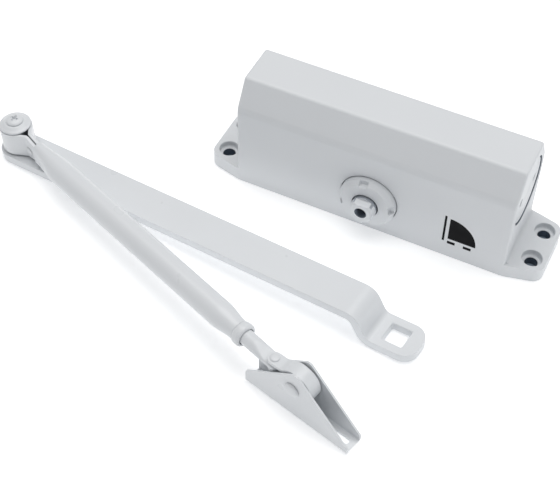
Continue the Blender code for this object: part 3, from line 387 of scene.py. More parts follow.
def slab(corners, low, high):
    # corners are (x, y, radius); the corner edges are rounded after the outline is raised
    bm = bmesh.new()
    face = bm.faces.new([bm.verts.new((x, y, low)) for x, y, radius in corners])
    raised = bmesh.ops.extrude_face_region(bm, geom=[face])["geom"]
    bmesh.ops.translate(bm, vec=(0, 0, high - low),
                        verts=[v for v in raised if isinstance(v, bmesh.types.BMVert)])
    bmesh.ops.recalc_face_normals(bm, faces=bm.faces)
    count = len(corners)
    for i, (x, y, radius) in enumerate(corners):
        if radius <= 0:
            continue
        here = Vector((x, y))
        before = (Vector(corners[i - 1][:2]) - here).normalized()
        after = (Vector(corners[(i + 1) % count][:2]) - here).normalized()
        half = acos(max(-1.0, min(1.0, before.dot(after)))) / 2
        edge = [e for e in bm.edges if all((v.co.xy - here).length < 1e-7 for v in e.verts)]
        bmesh.ops.bevel(bm, geom=edge, offset=radius / tan(half) * 0.9995, offset_type="OFFSET",
                        segments=max(4, int(radius / mm * 1.6) + 4), profile=0.5, affect="EDGES",
                        material=-1)
    return bm


def rod(radius, low, high, steps=48):
    return turn([(0, high), (radius, high), (radius, low), (0, low)], steps)


def brick(size, width=0.0, segments=2):
    bm = bmesh.new()
    bmesh.ops.create_cube(bm, size=1.0)
    bmesh.ops.scale(bm, vec=size, verts=bm.verts)
    if width:
        roundEdges(bm, width, segments)
    return bm


def tool(bm, matrix=None, material=None):
    return toPiece("tool", bm, matrix, material)


def applied(piece):
    # the mesh that the modifiers make becomes the piece's own
    graph = bpy.context.evaluated_depsgraph_get()
    mesh = bpy.data.meshes.new_from_object(piece.evaluated_get(graph))
    piece.modifiers.clear()
    old = piece.data
    piece.data = mesh
    mesh.name = piece.name
    bpy.data.meshes.remove(old)


def carve(piece, tools, operation="DIFFERENCE", sharp=34):
    for other in tools:
        step = piece.modifiers.new("cut", "BOOLEAN")
        step.operation = operation
        step.solver = "EXACT"
        step.object = other
        if other.data.materials:
            step.material_mode = "TRANSFER"
    applied(piece)
    for other in tools:
        bpy.data.objects.remove(other)
    smooth(piece, sharp)
    return piece


def evenNormals(piece):
    step = piece.modifiers.new("evenNormals", "WEIGHTED_NORMAL")
    step.keep_sharp = True
    return piece


def fit(piece, body, slotName, *nodes):
    evenNormals(piece)
    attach(piece, body)
    if nodes:
        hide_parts(*nodes)
    return piece


def sheetPath(points, width):
    # an open strip whose middle line follows points in XZ, its width along Y
    bm = bmesh.new()
    start = [bm.verts.new((points[0][0], side * width / 2, points[0][1])) for side in (-1, 1)]
    edge = bm.edges.new(start)
    last = points[0]
    for point in points[1:]:
        made = bmesh.ops.extrude_edge_only(bm, edges=[edge])["geom"]
        move = Vector((point[0] - last[0], 0, point[1] - last[1]))
        bmesh.ops.translate(bm, vec=move, verts=[g for g in made if isinstance(g, bmesh.types.BMVert)])
        edge = [g for g in made if isinstance(g, bmesh.types.BMEdge)][0]
        last = point
    return bm


def easeEdges(piece, width, segments):
    edge = piece.modifiers.new("edge", "BEVEL")
    edge.width = width
    edge.segments = segments
    edge.limit_method = "ANGLE"
    edge.angle_limit = radians(50)


def thicken(piece, thickness, offset, rim):
    wall = piece.modifiers.new("wall", "SOLIDIFY")
    wall.thickness = thickness
    wall.offset = offset
    wall.use_even_offset = True
    easeEdges(piece, rim, 3)
    applied(piece)
    smooth(piece)
    return piece


# ---- places of the moving parts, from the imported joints
joints = {joint["name"]: joint for joint in frame["joints"]}
mounts = {mount["name"]: mount for mount in frame["record"]["mounts"]}
elbowPlace = Vector(joints["elbow_turn"]["pos_m"])
elbowUp = -Vector(joints["elbow_turn"]["axis"]).normalized()
tubeWay = Vector(joints["rod_slide"]["axis"]).normalized()
eyePlace = Vector(joints["link_turn"]["pos_m"])
rodUp = Vector(joints["link_turn"]["axis"]).normalized()
pinPlace = Vector(joints["shoe_turn"]["pos_m"])
shoeAcross = -Vector(joints["shoe_turn"]["axis"]).normalized()
armUp = Vector(mounts["arm_hole_face"]["axis"]).normalized()
armAcross = Vector((-armUp.y, armUp.x, 0)).normalized() * -1

armFrame = frameAt(elbowPlace, armAcross.cross(armUp), armUp)
elbowFrame = frameAt(elbowPlace, tubeWay, elbowUp)
rodFrame = frameAt(eyePlace, tubeWay, rodUp)
linkFrame = frameAt(eyePlace, shoeAcross.cross(rodUp), rodUp)
shoeFrame = frameAt(pinPlace, shoeAcross.cross(Vector((0, 0, 1))), (0, 0, 1))
pinInLink = linkFrame.inverted() @ pinPlace
spindleHeight = joints["spindle_turn"]["pos_m"][2]


# ---- cast body
casting = {
    "halfLength": 70.9 * mm, "halfWidth": 20.0 * mm, "shoulder": 48.5 * mm, "height": 62.7 * mm,
    "topHalf": 11.2 * mm, "shoulderRadius": 9.0 * mm, "topRadius": 2.2 * mm, "endRadius": 1.3 * mm,
    "flangeEnd": 88.2 * mm, "flangeHalf": 15.7 * mm, "flangeThick": 8.0 * mm, "flangeCorner": 5.5 * mm,
    "flangeRoot": 12.0 * mm, "flangeBite": 14.0 * mm, "flangeEdge": 0.8 * mm,    # bite runs into the body
    "coveRadius": 1.6 * mm,
    "screwX": 81.0 * mm, "screwY": 9.5 * mm, "screwHole": 3.2 * mm, "screwSeat": 4.9 * mm,
    "seatDepth": 3.2 * mm,
    "boreHeight": 41.0 * mm, "bore": 16.5 * mm, "plugSeat": 17.3 * mm, "plugInner": 60.2 * mm,
    "crossBore": 10.9 * mm, "collarSeat": 14.7 * mm, "collarInner": 16.0 * mm,
    "valveBore": 3.2 * mm, "valveReach": 21.0 * mm, "valveHeight": 14.6 * mm, "valveY": 8.5 * mm,
    "oilway": 1.2 * mm, "chamberX": -56.2 * mm,
}


def seatTools(radius, inner, face, lip, spot):
    # a machined seat with bare walls in the dark bore finish, which is partly painted shade, and the powder-coated
    # chamfer at its mouth
    out = face + 8 * mm
    mouth = turn([(0, out), (radius + out - face + lip, out), (radius, face - lip), (0, face - lip)], 96)
    return [tool(mouth, spot), tool(rod(radius, inner, out, 96), spot, boreMetalAndShade)]


def makeCasting():
    c = casting
    half, wide, high, thick = c["halfLength"], c["halfWidth"], c["height"], c["flangeThick"]
    bm = slab([
        (-wide, 0, 0), (wide, 0, 0), (wide, c["shoulder"], c["shoulderRadius"]),
        (c["topHalf"], high, c["topRadius"]), (-c["topHalf"], high, c["topRadius"]),
        (-wide, c["shoulder"], c["shoulderRadius"])], -half, half)
    roundEdges(bm, c["endRadius"], 4, 60, lambda e: abs(abs(e.verts[0].co.z) - half) < 1e-6 and
               abs(abs(e.verts[1].co.z) - half) < 1e-6 and max(v.co.y for v in e.verts) > 1e-6)
    body = toPiece("closerCasting", bm, endOn, powder, 40)
    extras = []
    side = wide - 0.05 * mm
    for turned in (0, pi):
        flange = slab([
            (c["flangeEnd"], c["flangeHalf"], c["flangeCorner"]), (half, side, c["flangeRoot"]),
            (half - c["flangeBite"], side, 0), (half - c["flangeBite"], -side, 0),
            (half, -side, c["flangeRoot"]),
            (c["flangeEnd"], -c["flangeHalf"], c["flangeCorner"])], 0, thick)
        roundEdges(flange, c["flangeEdge"], 4, 60, lambda e: min(v.co.z for v in e.verts) > thick / 2 and
                   min(v.co.x for v in e.verts) > half - 3 * mm)
        spun = Matrix.Rotation(turned, 4, "Z")
        extras.append(tool(flange, spun))
        cove = brick((c["coveRadius"] * 2, 2 * (wide - c["endRadius"] - 0.6 * mm), c["coveRadius"] * 2))
        hollow = tool(rod(c["coveRadius"], -wide * 2, wide * 2, 48),
                      spun @ place(half + c["coveRadius"], 0, thick + c["coveRadius"]) @ alongFront)
        block = toPiece("cove", cove, spun @ place(half, 0, thick))
        extras.append(carve(block, [hollow]))
    carve(body, extras, "UNION", 40)

    tools = []
    for sx in (-1, 1):
        for sy in (-1, 1):
            spot = place(sx * c["screwX"], sy * c["screwY"], 0)
            tools.append(tool(rod(c["screwHole"], -thick, 2 * thick, 48), spot, boreMetalAndShade))
            floor = thick - c["seatDepth"]
            flare = turn([(0, thick + 2 * mm), (c["screwSeat"] + 2.2 * mm, thick + 2 * mm),
                          (c["screwSeat"] + 0.1 * mm, thick - 0.2 * mm),
                          (c["screwSeat"], thick - 0.6 * mm), (c["screwSeat"], floor + 0.5 * mm),
                          (c["screwSeat"] - 0.5 * mm, floor), (c["screwHole"] + 0.35 * mm, floor),
                          (c["screwHole"] - 0.05 * mm, floor - 0.4 * mm), (0, floor - 0.4 * mm)], 56)
            tools.append(tool(flare, spot))
    tools.append(tool(rod(c["bore"], -half * 1.2, half * 1.2, 72), place(z=c["boreHeight"]) @ alongX,
                      boreMetalAndShade))
    for sx in (-1, 1):
        tools += seatTools(c["plugSeat"], c["plugInner"], half, 0.4 * mm,
                           place(z=c["boreHeight"]) @ Matrix.Rotation(sx * pi / 2, 4, "Y"))
    tools.append(tool(rod(c["crossBore"], -wide * 1.3, wide * 1.3, 64),
                      place(z=spindleHeight) @ alongFront, boreMetalAndShade))
    for way in (alongFront, alongBack):
        tools += seatTools(c["collarSeat"], c["collarInner"], wide, 0.3 * mm, place(z=spindleHeight) @ way)
    for sy in (-1, 1):
        y = sy * c["valveY"]
        tools.append(tool(rod(c["valveBore"], 0, 2 * c["valveReach"], 40),
                          place(-half - c["valveReach"], y, c["valveHeight"]) @ alongX, boreMetalAndShade))
        tools.append(tool(rod(c["oilway"], c["valveHeight"], c["boreHeight"], 20),
                          place(c["chamberX"], y, 0), boreMetalAndShade))
        tools.append(tool(rod(c["oilway"], -half + c["valveReach"] - mm, 0, 20),
                          place(0, y, c["valveHeight"]) @ alongX, boreMetalAndShade))
    carve(body, tools, "DIFFERENCE", 34)
    return fit(body, "closer_body", "cast_powder_coat", "housing")


makeCasting()
print("casting done")


# ---- end plugs, collars and the spindle
plug = {"radius": 17.0 * mm, "length": 9.6 * mm, "recess": 0.8 * mm, "spanner": 2.2 * mm,
        "spannerDepth": 4.0 * mm, "spannerY": 9.0 * mm}


def makePlug(name, side):
    p = plug
    low, high = p["length"] * 0.25, p["length"] * 0.55
    thick = (high - low) / 2 - gap
    floor = p["radius"] + gap - 2 * (thick + gap)
    r, length = p["radius"], p["length"]
    bm = turn([(0, -0.25 * mm), (4.4 * mm, -0.25 * mm), (5.0 * mm, 0), (r - 0.7 * mm, 0),
               (r, -0.7 * mm), (r, high - length), (floor, high - length), (floor, low - length),
               (r, low - length), (r, 0.6 * mm - length), (r - 0.6 * mm, -length), (0, -length)], 96)
    spot = place(side * (casting["halfLength"] - p["recess"]), 0, casting["boreHeight"]) @ \
        Matrix.Rotation(side * pi / 2, 4, "Y")
    piece = toPiece(name, bm, spot, powder)
    tools = []
    for y in (-p["spannerY"], p["spannerY"]):
        hole = turn([(0, 2 * mm), (p["spanner"] + 2.3 * mm, 2 * mm), (p["spanner"], -0.3 * mm),
                     (p["spanner"], -p["spannerDepth"]), (0, -p["spannerDepth"] - 1.2 * mm)], 40)
        tools.append(tool(hole, spot @ place(0, y, 0)))
    return carve(piece, tools)


collar = {"radius": 14.4 * mm, "bore": 6.75 * mm, "inner": 16.3 * mm, "outer": 24.7 * mm,
          "chamfer": 1.6 * mm, "notchWide": 4.6 * mm, "notchDeep": 2.6 * mm, "notchTurn": 8}


def makeCollar(name, way):
    c = collar
    deep = c["outer"] - c["inner"]
    r, bore = c["radius"], c["bore"]
    low, high, groove = deep * 0.2, deep * 0.5, bore + 2.0 * mm
    bm = turn([(bore + 0.25 * mm, deep), (r - c["chamfer"] - 0.2 * mm, deep),
               (r - c["chamfer"] + 0.1 * mm, deep - 0.12 * mm), (r - 0.15 * mm, deep - c["chamfer"] * 1.3),
               (r, deep - c["chamfer"] * 1.6), (r, 0), (bore, 0), (bore, low), (groove, low),
               (groove, high), (bore, high), (bore, deep - 0.25 * mm)], 96, ring=True)
    spot = place(z=spindleHeight) @ way @ place(z=c["inner"])
    piece = toPiece(name, bm, spot, powder)
    tools = []
    for i in range(4):
        spin = Matrix.Rotation(radians(c["notchTurn"]) + i * pi / 2, 4, "Z")
        cutter = brick((2 * c["notchDeep"], c["notchWide"], 2 * c["notchDeep"]), 0.5 * mm, 3)
        tools.append(tool(cutter, spot @ spin @ place(r, 0, deep)))
    return carve(piece, tools, sharp=30)


spindle = {"radius": 6.35 * mm, "tip": 30.0 * mm, "square": 10.0 * mm, "squareStart": 26.2 * mm,
           "tap": 2.5 * mm, "tapDepth": 9.0 * mm, "module": 1.5 * mm, "teeth": 12,
           "pressure": 25, "backlash": 0.5 * mm, "gearHalf": 8.4 * mm,
           "threadPitch": 0.7 * mm, "sprayedFrom": 24.0 * mm}


def pinionTooth(s):
    # one tooth, its flanks shaped as involutes of the base circle
    pitch = s["module"] * s["teeth"] / 2
    base, tip = pitch * cos(radians(s["pressure"])), pitch + s["module"]
    root = pitch - 1.2 * s["module"]

    def opening(radius):
        roll = sqrt(max(0.0, (radius / base) ** 2 - 1))
        return roll - atan2(roll, 1)

    half = (pi * pitch / s["teeth"] - s["backlash"] / 2) / (2 * pitch)
    radii = [root - 0.6 * mm, base] + [base + (tip - base) * i / 6 for i in range(1, 7)]
    flank = [(r, half + opening(pitch) - opening(max(r, base))) for r in radii]
    points = [(r * sin(a), r * cos(a)) for r, a in flank]
    return slab([(x, y, 0) for x, y in points] + [(-x, y, 0) for x, y in reversed(points)],
                -s["gearHalf"], s["gearHalf"])


def makeSpindle():
    s = spindle
    tip, r = s["tip"], s["radius"]
    spot = place(z=spindleHeight) @ alongFront
    bm = turn([(0, tip), (r - 1.0 * mm, tip), (r - 0.1 * mm, tip - 0.8 * mm), (r, tip - 1.1 * mm),
               (r, 1.1 * mm - tip), (r - 0.1 * mm, 0.8 * mm - tip), (r - 1.0 * mm, -tip), (0, -tip)], 72)
    piece = toPiece("spindleShaft", bm, spot, zinc)
    cutters = []
    for end in (-1, 1):
        long = tip - s["squareStart"] + mm
        for i in range(4):
            spin = Matrix.Rotation(i * pi / 2, 4, "Z")
            cutter = brick((r, 3 * r, long), 0.3 * mm, 3)
            middle = end * (s["squareStart"] + long / 2)
            cutters.append(tool(cutter, spot @ spin @ place(s["square"] / 2 + r / 2, 0, middle)))
    carve(piece, cutters, sharp=30)
    root = s["module"] * s["teeth"] / 2 - 1.2 * s["module"]
    carve(piece, [tool(rod(root, -s["gearHalf"], s["gearHalf"], 72), spot)], "UNION")
    teeth = []
    for i in range(s["teeth"]):
        spin = Matrix.Rotation(i * 2 * pi / s["teeth"], 4, "Z")
        teeth.append(tool(pinionTooth(s), spot @ spin))
    carve(piece, teeth, "UNION", 30)
    piece.data.materials.append(armPowder)
    for polygon in piece.data.polygons:      # the ends stand outside and were sprayed with the body
        if abs(polygon.center.y) > s["sprayedFrom"]:
            polygon.material_index = len(piece.data.materials) - 1
    taps = []
    for way in (alongFront, alongBack):
        steps = [(0, tip + mm), (s["tap"] + 1.6 * mm, tip + mm), (s["tap"] + 0.1 * mm, tip - 0.5 * mm)]
        pitch = s["threadPitch"]
        height = tip - pitch
        while height > tip - s["tapDepth"] + 0.8 * mm:    # thread grooves
            steps += [(s["tap"] - 0.05 * mm, height), (s["tap"] + 0.25 * mm, height - pitch / 2)]
            height -= pitch
        steps += [(s["tap"], tip - s["tapDepth"]), (0, tip - s["tapDepth"] - 1.2 * mm)]
        taps.append(tool(turn(steps, 40), place(z=spindleHeight) @ way, boreMetalAndShade))
    carve(piece, taps, sharp=30)
    return piece


for plugName, side, node in (("endPlugRight", 1, "end_plug_right"), ("endPlugLeft", -1, "end_plug_left")):
    fit(makePlug(plugName, side), "closer_body", "cast_powder_coat", node)
for collarName, way, node in (("collarFront", alongFront, "spindle_collar_front"),
                              ("collarBack", alongBack, "spindle_collar_back")):
    fit(makeCollar(collarName, way), "closer_body", "cast_powder_coat", node)
fit(makeSpindle(), "spindle", "bright_steel", "spindle")
print("plugs, collars and spindle done")


# ---- main arm
mainArm = {"length": 220.5 * mm, "width": 19.4 * mm, "thick": 4.8 * mm, "end": 12.4 * mm,
           "square": 10.3 * mm, "joggleFrom": 18.4 * mm, "joggleTo": 12.1 * mm, "bend": 6.0 * mm,
           "endCorner": 7.4 * mm, "edge": 0.9 * mm, "thread": 3.3 * mm, "slices": 34}


def bentLine(corners, radius):
    # stations of a line with two rounded bends: (length along, point, heading)
    (x0, z0), (x1, z1), (x2, z2) = corners
    slope = atan2(z2 - z1, x2 - x1)
    reach = radius * tan(abs(slope) / 2)
    sloped = sqrt((x2 - x1) ** 2 + (z2 - z1) ** 2)
    runs = [("line", x1 - x0 - reach, 0.0, 0.0), ("arc", radius * abs(slope), 0.0, slope),
            ("line", sloped - 2 * reach, slope, slope), ("arc", radius * abs(slope), slope, 0.0),
            ("line", 1.0, 0.0, 0.0)]

    def at(length):
        x, z = x0, z0
        for kind, run, first, last in runs:
            part = min(length, run)
            if kind == "line":
                x, z, heading = x + part * cos(first), z + part * sin(first), first
            else:
                heading = first + (last - first) * part / run
                turned = 1 if last > first else -1
                x += radius * turned * (sin(heading) - sin(first))
                z -= radius * turned * (cos(heading) - cos(first))
            length -= part
            if length <= 0:
                break
        return x, z, heading
    return at, runs


def makeMainArm():
    a = mainArm
    reach, half = a["width"] / 2, a["thick"] / 2
    drop = (a["length"] - a["joggleTo"] + reach) * tan(acos(armUp.z))
    start = a["length"] - a["joggleFrom"]
    stop = a["length"] - a["joggleTo"]
    line, runs = bentLine([(-reach, half), (start, half), (stop, half - drop)], a["bend"])
    joggled = sum(run for kind, run, first, last in runs[:4])
    endX = line(joggled)[0]
    total = joggled + a["length"] + a["end"] - endX      # length of the bar before it is bent
    holeAt = joggled + a["length"] - endX
    bm = slab([(0, -reach, reach), (total, -reach, a["endCorner"]), (total, reach, a["endCorner"]),
               (0, reach, reach)], -half, half)
    roundEdges(bm, a["edge"], 4, 60)
    bar = toPiece("mainArm", bm, None, armPowder)
    size, lip = a["square"], 0.35 * mm
    cutter = slab([(-size / 2, -size / 2, 0.8 * mm), (size / 2, -size / 2, 0.8 * mm),
                   (size / 2, size / 2, 0.8 * mm), (-size / 2, size / 2, 0.8 * mm)], -5 * mm, 5 * mm)
    tools = [tool(cutter, place(holeAt))]
    for flip in (0, pi):
        flare = bmesh.new()
        bmesh.ops.create_cone(flare, cap_ends=True, segments=4, radius1=(size / 2 - 0.02 * mm) * sqrt(2),
                              radius2=(size / 2 + 4 * lip) * sqrt(2), depth=4 * lip)
        spin = Matrix.Rotation(flip, 4, "X") @ place(z=half + lip) @ Matrix.Rotation(pi / 4, 4, "Z")
        tools.append(tool(flare, place(holeAt) @ spin))
    tools.append(tool(rod(a["thread"], -5 * mm, 5 * mm, 48), place(reach), boreMetalAndShade))
    carve(bar, tools)
    bm = bmesh.new()
    bm.from_mesh(bar.data)
    first, last = runs[0][1], joggled
    for i in range(a["slices"] + 1):      # cut the bar across so that it can bend
        x = first + (last - first) * i / a["slices"]
        bmesh.ops.bisect_plane(bm, geom=bm.verts[:] + bm.edges[:] + bm.faces[:], dist=0.0000001,
                               plane_co=(x, 0, 0), plane_no=(1, 0, 0))
    for vert in bm.verts:
        x, z, heading = line(vert.co.x)
        height = vert.co.z
        vert.co = (x - height * sin(heading), vert.co.y, z + height * cos(heading))
    bm.to_mesh(bar.data)
    bm.free()
    bar.data.transform(armFrame)
    smooth(bar, 34)
    return fit(bar, "main_arm", "powder_coat", "main_arm")


makeMainArm()
print("main arm done")


# ---- elbow
elbow = {"strapRadius": 8.3 * mm, "strapHigh": 13.0 * mm, "sheet": 1.8 * mm, "axisHeight": 12.4 * mm,
         "tailFrom": 10.4 * mm, "tailTo": 27.0 * mm, "tailHigh": 9.0 * mm, "mouth": 19.0 * mm,
         "rivetDrop": 1.5 * mm,
         "shank": 3.0 * mm, "head": 4.4 * mm, "headHigh": 1.7 * mm,
         "cap": 8.0 * mm, "capRim": 1.2 * mm, "capRise": 1.3 * mm, "rivet": 1.5 * mm,
         "crossWide": 1.5 * mm, "crossLong": 6.2 * mm, "crossTurn": 20}
strapFloor = elbow["axisHeight"] - elbow["strapHigh"] / 2
strapTop = strapFloor + elbow["strapHigh"]


def makeCapAndScrew():
    e = elbow
    low = strapTop + gap
    rim, top = low + e["capRim"], low + e["capRim"] + e["capRise"]
    shank, r = e["shank"], e["cap"]
    bm = turn([(shank + gap, top), (e["head"] + 0.7 * mm, top), (e["head"] + 1.0 * mm, top - 0.1 * mm),
               (e["head"] + 1.9 * mm, rim + 0.55 * mm), (r - 1.0 * mm, rim + 0.08 * mm),
               (r - 0.35 * mm, rim - 0.08 * mm), (r - 0.08 * mm, rim - 0.35 * mm), (r, rim - 0.6 * mm),
               (r, low + 0.25 * mm), (r - 0.25 * mm, low), (shank + gap, low)], 80, ring=True)
    fit(toPiece("elbowCap", bm, elbowFrame, armPowder, 50), "main_arm", "powder_coat", "elbow_cap")

    seat = top + hair
    crown, head = seat + e["headHigh"], e["head"]
    bm = turn([(0, crown), (head * 0.45, crown - 0.05 * mm), (head * 0.72, crown - 0.28 * mm),
               (head * 0.9, crown - 0.68 * mm), (head * 0.98, crown - 1.05 * mm), (head, seat + 0.3 * mm),
               (head - 0.15 * mm, seat), (shank, seat), (shank, 0.8 * mm), (shank - 0.4 * mm, 0.4 * mm),
               (0, 0.4 * mm)], 64)
    screw = toPiece("elbowScrew", bm, elbowFrame, armPowder, 50)
    tools = []
    for turned in (e["crossTurn"], e["crossTurn"] + 90):
        wing = bmesh.new()
        bmesh.ops.create_cube(wing, size=1.0)
        bmesh.ops.scale(wing, vec=(e["crossLong"], e["crossWide"], 3.0 * mm), verts=wing.verts)
        lower = [v for v in wing.verts if v.co.z < 0]
        bmesh.ops.scale(wing, vec=(0.35, 0.7, 1), verts=lower)
        spot = elbowFrame @ place(z=crown) @ Matrix.Rotation(radians(turned), 4, "Z")
        tools.append(tool(wing, spot))
    carve(screw, tools)
    fit(screw, "main_arm", "bright_steel", "elbow_screw")

    outer = e["strapRadius"] - e["sheet"] - gap
    bush = roundEdges(turn([(outer, strapTop), (outer, strapFloor), (shank + gap, strapFloor),
                            (shank + gap, strapTop)], 64, ring=True), 0.3 * mm, 2, 60)
    fit(toPiece("elbowBush", bush, elbowFrame, zinc), "main_arm", "bright_steel", "elbow_bush")


def makeStrap():
    e = elbow
    middle = e["strapRadius"] - e["sheet"] / 2
    tail = e["sheet"] / 2 + gap
    touch = acos(middle / sqrt(e["tailFrom"] ** 2 + tail ** 2)) + atan2(tail, e["tailFrom"])
    steps = 44
    points = [(e["tailTo"], tail), (e["tailFrom"] + 1.5 * mm, tail), (e["tailFrom"], tail + 0.12 * mm)]
    for i in range(steps + 1):
        angle = touch + (2 * pi - 2 * touch) * i / steps
        points.append((middle * cos(angle), middle * sin(angle)))
    points += [(e["tailFrom"], -tail - 0.12 * mm), (e["tailFrom"] + 1.5 * mm, -tail), (e["tailTo"], -tail)]
    bm = sheetPath(points, e["strapHigh"])
    bmesh.ops.rotate(bm, matrix=Matrix.Rotation(pi / 2, 3, "X"), cent=(0, 0, 0), verts=bm.verts)
    bmesh.ops.scale(bm, vec=(1, -1, 1), verts=bm.verts)
    first = e["tailFrom"] + 1.5 * mm
    taper = (e["strapHigh"] - e["tailHigh"]) / e["strapHigh"] / (e["mouth"] - first)
    for vert in bm.verts:      # the tails narrow towards the tube's mouth
        vert.co.z *= 1 - max(0.0, vert.co.x - first) * taper
    strap = toPiece("elbowStrap", bm, None, armPowder)
    thicken(strap, e["sheet"], 0.0, 0.3 * mm)
    spot = place(e["tailFrom"] + 2.7 * mm, 0, -e["rivetDrop"]) @ alongFront
    carve(strap, [tool(rod(e["rivet"] + gap, -10 * mm, 10 * mm, 40), spot)])
    matrix = elbowFrame @ place(z=e["axisHeight"])
    strap.data.transform(matrix)
    fit(strap, "forearm", "powder_coat", "elbow_strap")
    face = tail + e["sheet"] / 2 + hair
    rivet = makeRivet("strapRivet", e["rivet"], face, 0.5 * mm, matrix @ spot, armPowder)
    fit(rivet, "forearm", "bright_steel", "strap_rivet")


def makeRivet(name, shank, face, head, matrix, material):
    wide = shank + 0.8 * mm
    front = [(0, face + head), (wide * 0.5, face + head * 0.94), (wide * 0.8, face + head * 0.7),
             (wide * 0.96, face + head * 0.35), (wide, face), (shank, face)]
    bm = turn(front + [(radius, -height) for radius, height in reversed(front)], 40)
    return toPiece(name, bm, matrix, material, 50)


makeCapAndScrew()
makeStrap()
print("elbow done")


# ---- forearm tube, lock collar and rod
tube = {"radius": 6.5 * mm, "wall": 0.9 * mm, "start": 19.0 * mm, "roundFrom": 40.0 * mm,
        "coneFrom": 159.0 * mm, "end": 172.4 * mm, "mouthWide": 3.4 * mm, "mouthHigh": 6.7 * mm,
        "neck": 5.05 * mm, "collarRadius": 5.75 * mm, "collarLong": 4.6 * mm,
        "rod": 3.75 * mm, "rodInside": 60.0 * mm, "linkPin": 196.0 * mm, "flat": 3.0 * mm,
        "eye": 3.9 * mm, "flatFrom": -13.0 * mm, "flatRun": 8.6 * mm, "round": 56}


def ringAt(bm, x, wide, high, count):
    # a circle stood across X and widened to a rounded slot
    made = bmesh.ops.create_circle(bm, cap_ends=False, segments=count, radius=1.0,
                                   matrix=Matrix.Rotation(pi / 2, 4, "Y"))["verts"]
    corner = min(wide, high)
    for vert in made:
        y, z = vert.co.y, vert.co.z
        vert.co = (x, y * corner + (wide - corner) * (0 if abs(y) < 1e-6 else (1 if y > 0 else -1)),
                   z * corner + (high - corner) * (0 if abs(z) < 1e-6 else (1 if z > 0 else -1)))
    return [e for e in bm.edges if e.verts[0] in made and e.verts[1] in made]


def ease(share):
    return share * share * (3 - 2 * share)


def loft(stations, count):
    bm = bmesh.new()
    last = None
    for x, wide, high in stations:
        ring = ringAt(bm, x, wide, high, count)
        if last is not None:
            bmesh.ops.bridge_loops(bm, edges=last + ring)
        last = ring
    return bm


def makeTube():
    t = tube
    stations = []
    for i in range(15):
        s = i / 14
        stations.append((t["start"] + (t["roundFrom"] - t["start"]) * s,
                         t["mouthWide"] + (t["radius"] - t["mouthWide"]) * ease(s),
                         t["mouthHigh"] + (t["radius"] - t["mouthHigh"]) * ease(s)))
    for i in range(17):
        s = i / 16
        r = t["radius"] + (t["neck"] - t["radius"]) * ease(s)
        stations.append((t["coneFrom"] + (t["end"] - t["coneFrom"]) * s, r, r))
    matrix = elbowFrame @ place(z=elbow["axisHeight"])
    piece = toPiece("forearmTube", loft(stations, t["round"]), None, armPowder)
    thicken(piece, t["wall"], -1.0, 0.25 * mm)
    piece.data.transform(matrix)
    fit(piece, "forearm", "powder_coat", "forearm_tube")

    r, bore, long = t["collarRadius"], t["rod"] + 0.45 * mm, t["collarLong"]
    bm = turn([(bore, long), (r - 1.2 * mm, long), (r - 0.55 * mm, long - 0.2 * mm),
               (r - 0.12 * mm, long - 0.8 * mm), (r, long - 1.6 * mm), (r, 1.1 * mm),
               (r - 0.2 * mm, 0.4 * mm), (r - 0.6 * mm, 0), (bore, 0)], 64, ring=True)
    fit(toPiece("lockCollar", bm, matrix @ place(t["end"] + hair) @ alongX, armPowder, 50),
        "forearm", "powder_coat", "lock_collar")


def makeRod():
    t = tube
    start = t["end"] - t["rodInside"] - t["linkPin"]
    r, eye, flat = t["rod"], t["eye"], t["flat"] / 2
    stations = [(start, r - 0.7 * mm, r - 0.7 * mm), (start + 0.3 * mm, r - 0.25 * mm, r - 0.25 * mm),
                (start + 0.8 * mm, r, r), (t["flatFrom"], r, r)]
    for i in range(1, 11):
        s = i / 10
        x = t["flatFrom"] + t["flatRun"] * s
        stations.append((x, r + (eye - r) * ease(s), r + (flat - r) * ease(s)))
    for i in range(1, 17):
        angle = radians(180 - 75) * (1 - i / 16)
        x = eye * cos(angle)
        if x > stations[-1][0] + 0.02 * mm:
            stations.append((x, max(0.25 * mm, eye * sin(angle)), flat))
    bm = loft(stations, 48)
    bmesh.ops.holes_fill(bm, edges=[e for e in bm.edges if e.is_boundary], sides=0)
    piece = toPiece("adjustingRod", bm, None, armPowder, 40)
    carve(piece, [tool(rod(elbow["rivet"] + gap, -9 * mm, 9 * mm, 40))], sharp=40)
    piece.data.transform(rodFrame)
    fit(piece, "rod", "powder_coat", "adjusting_rod")


makeTube()
makeRod()
print("tube and rod done")


# ---- folded link
link = {"sheet": 1.6 * mm, "width": 6.8 * mm, "barrel": 9.2 * mm, "pin": 2.3 * mm}


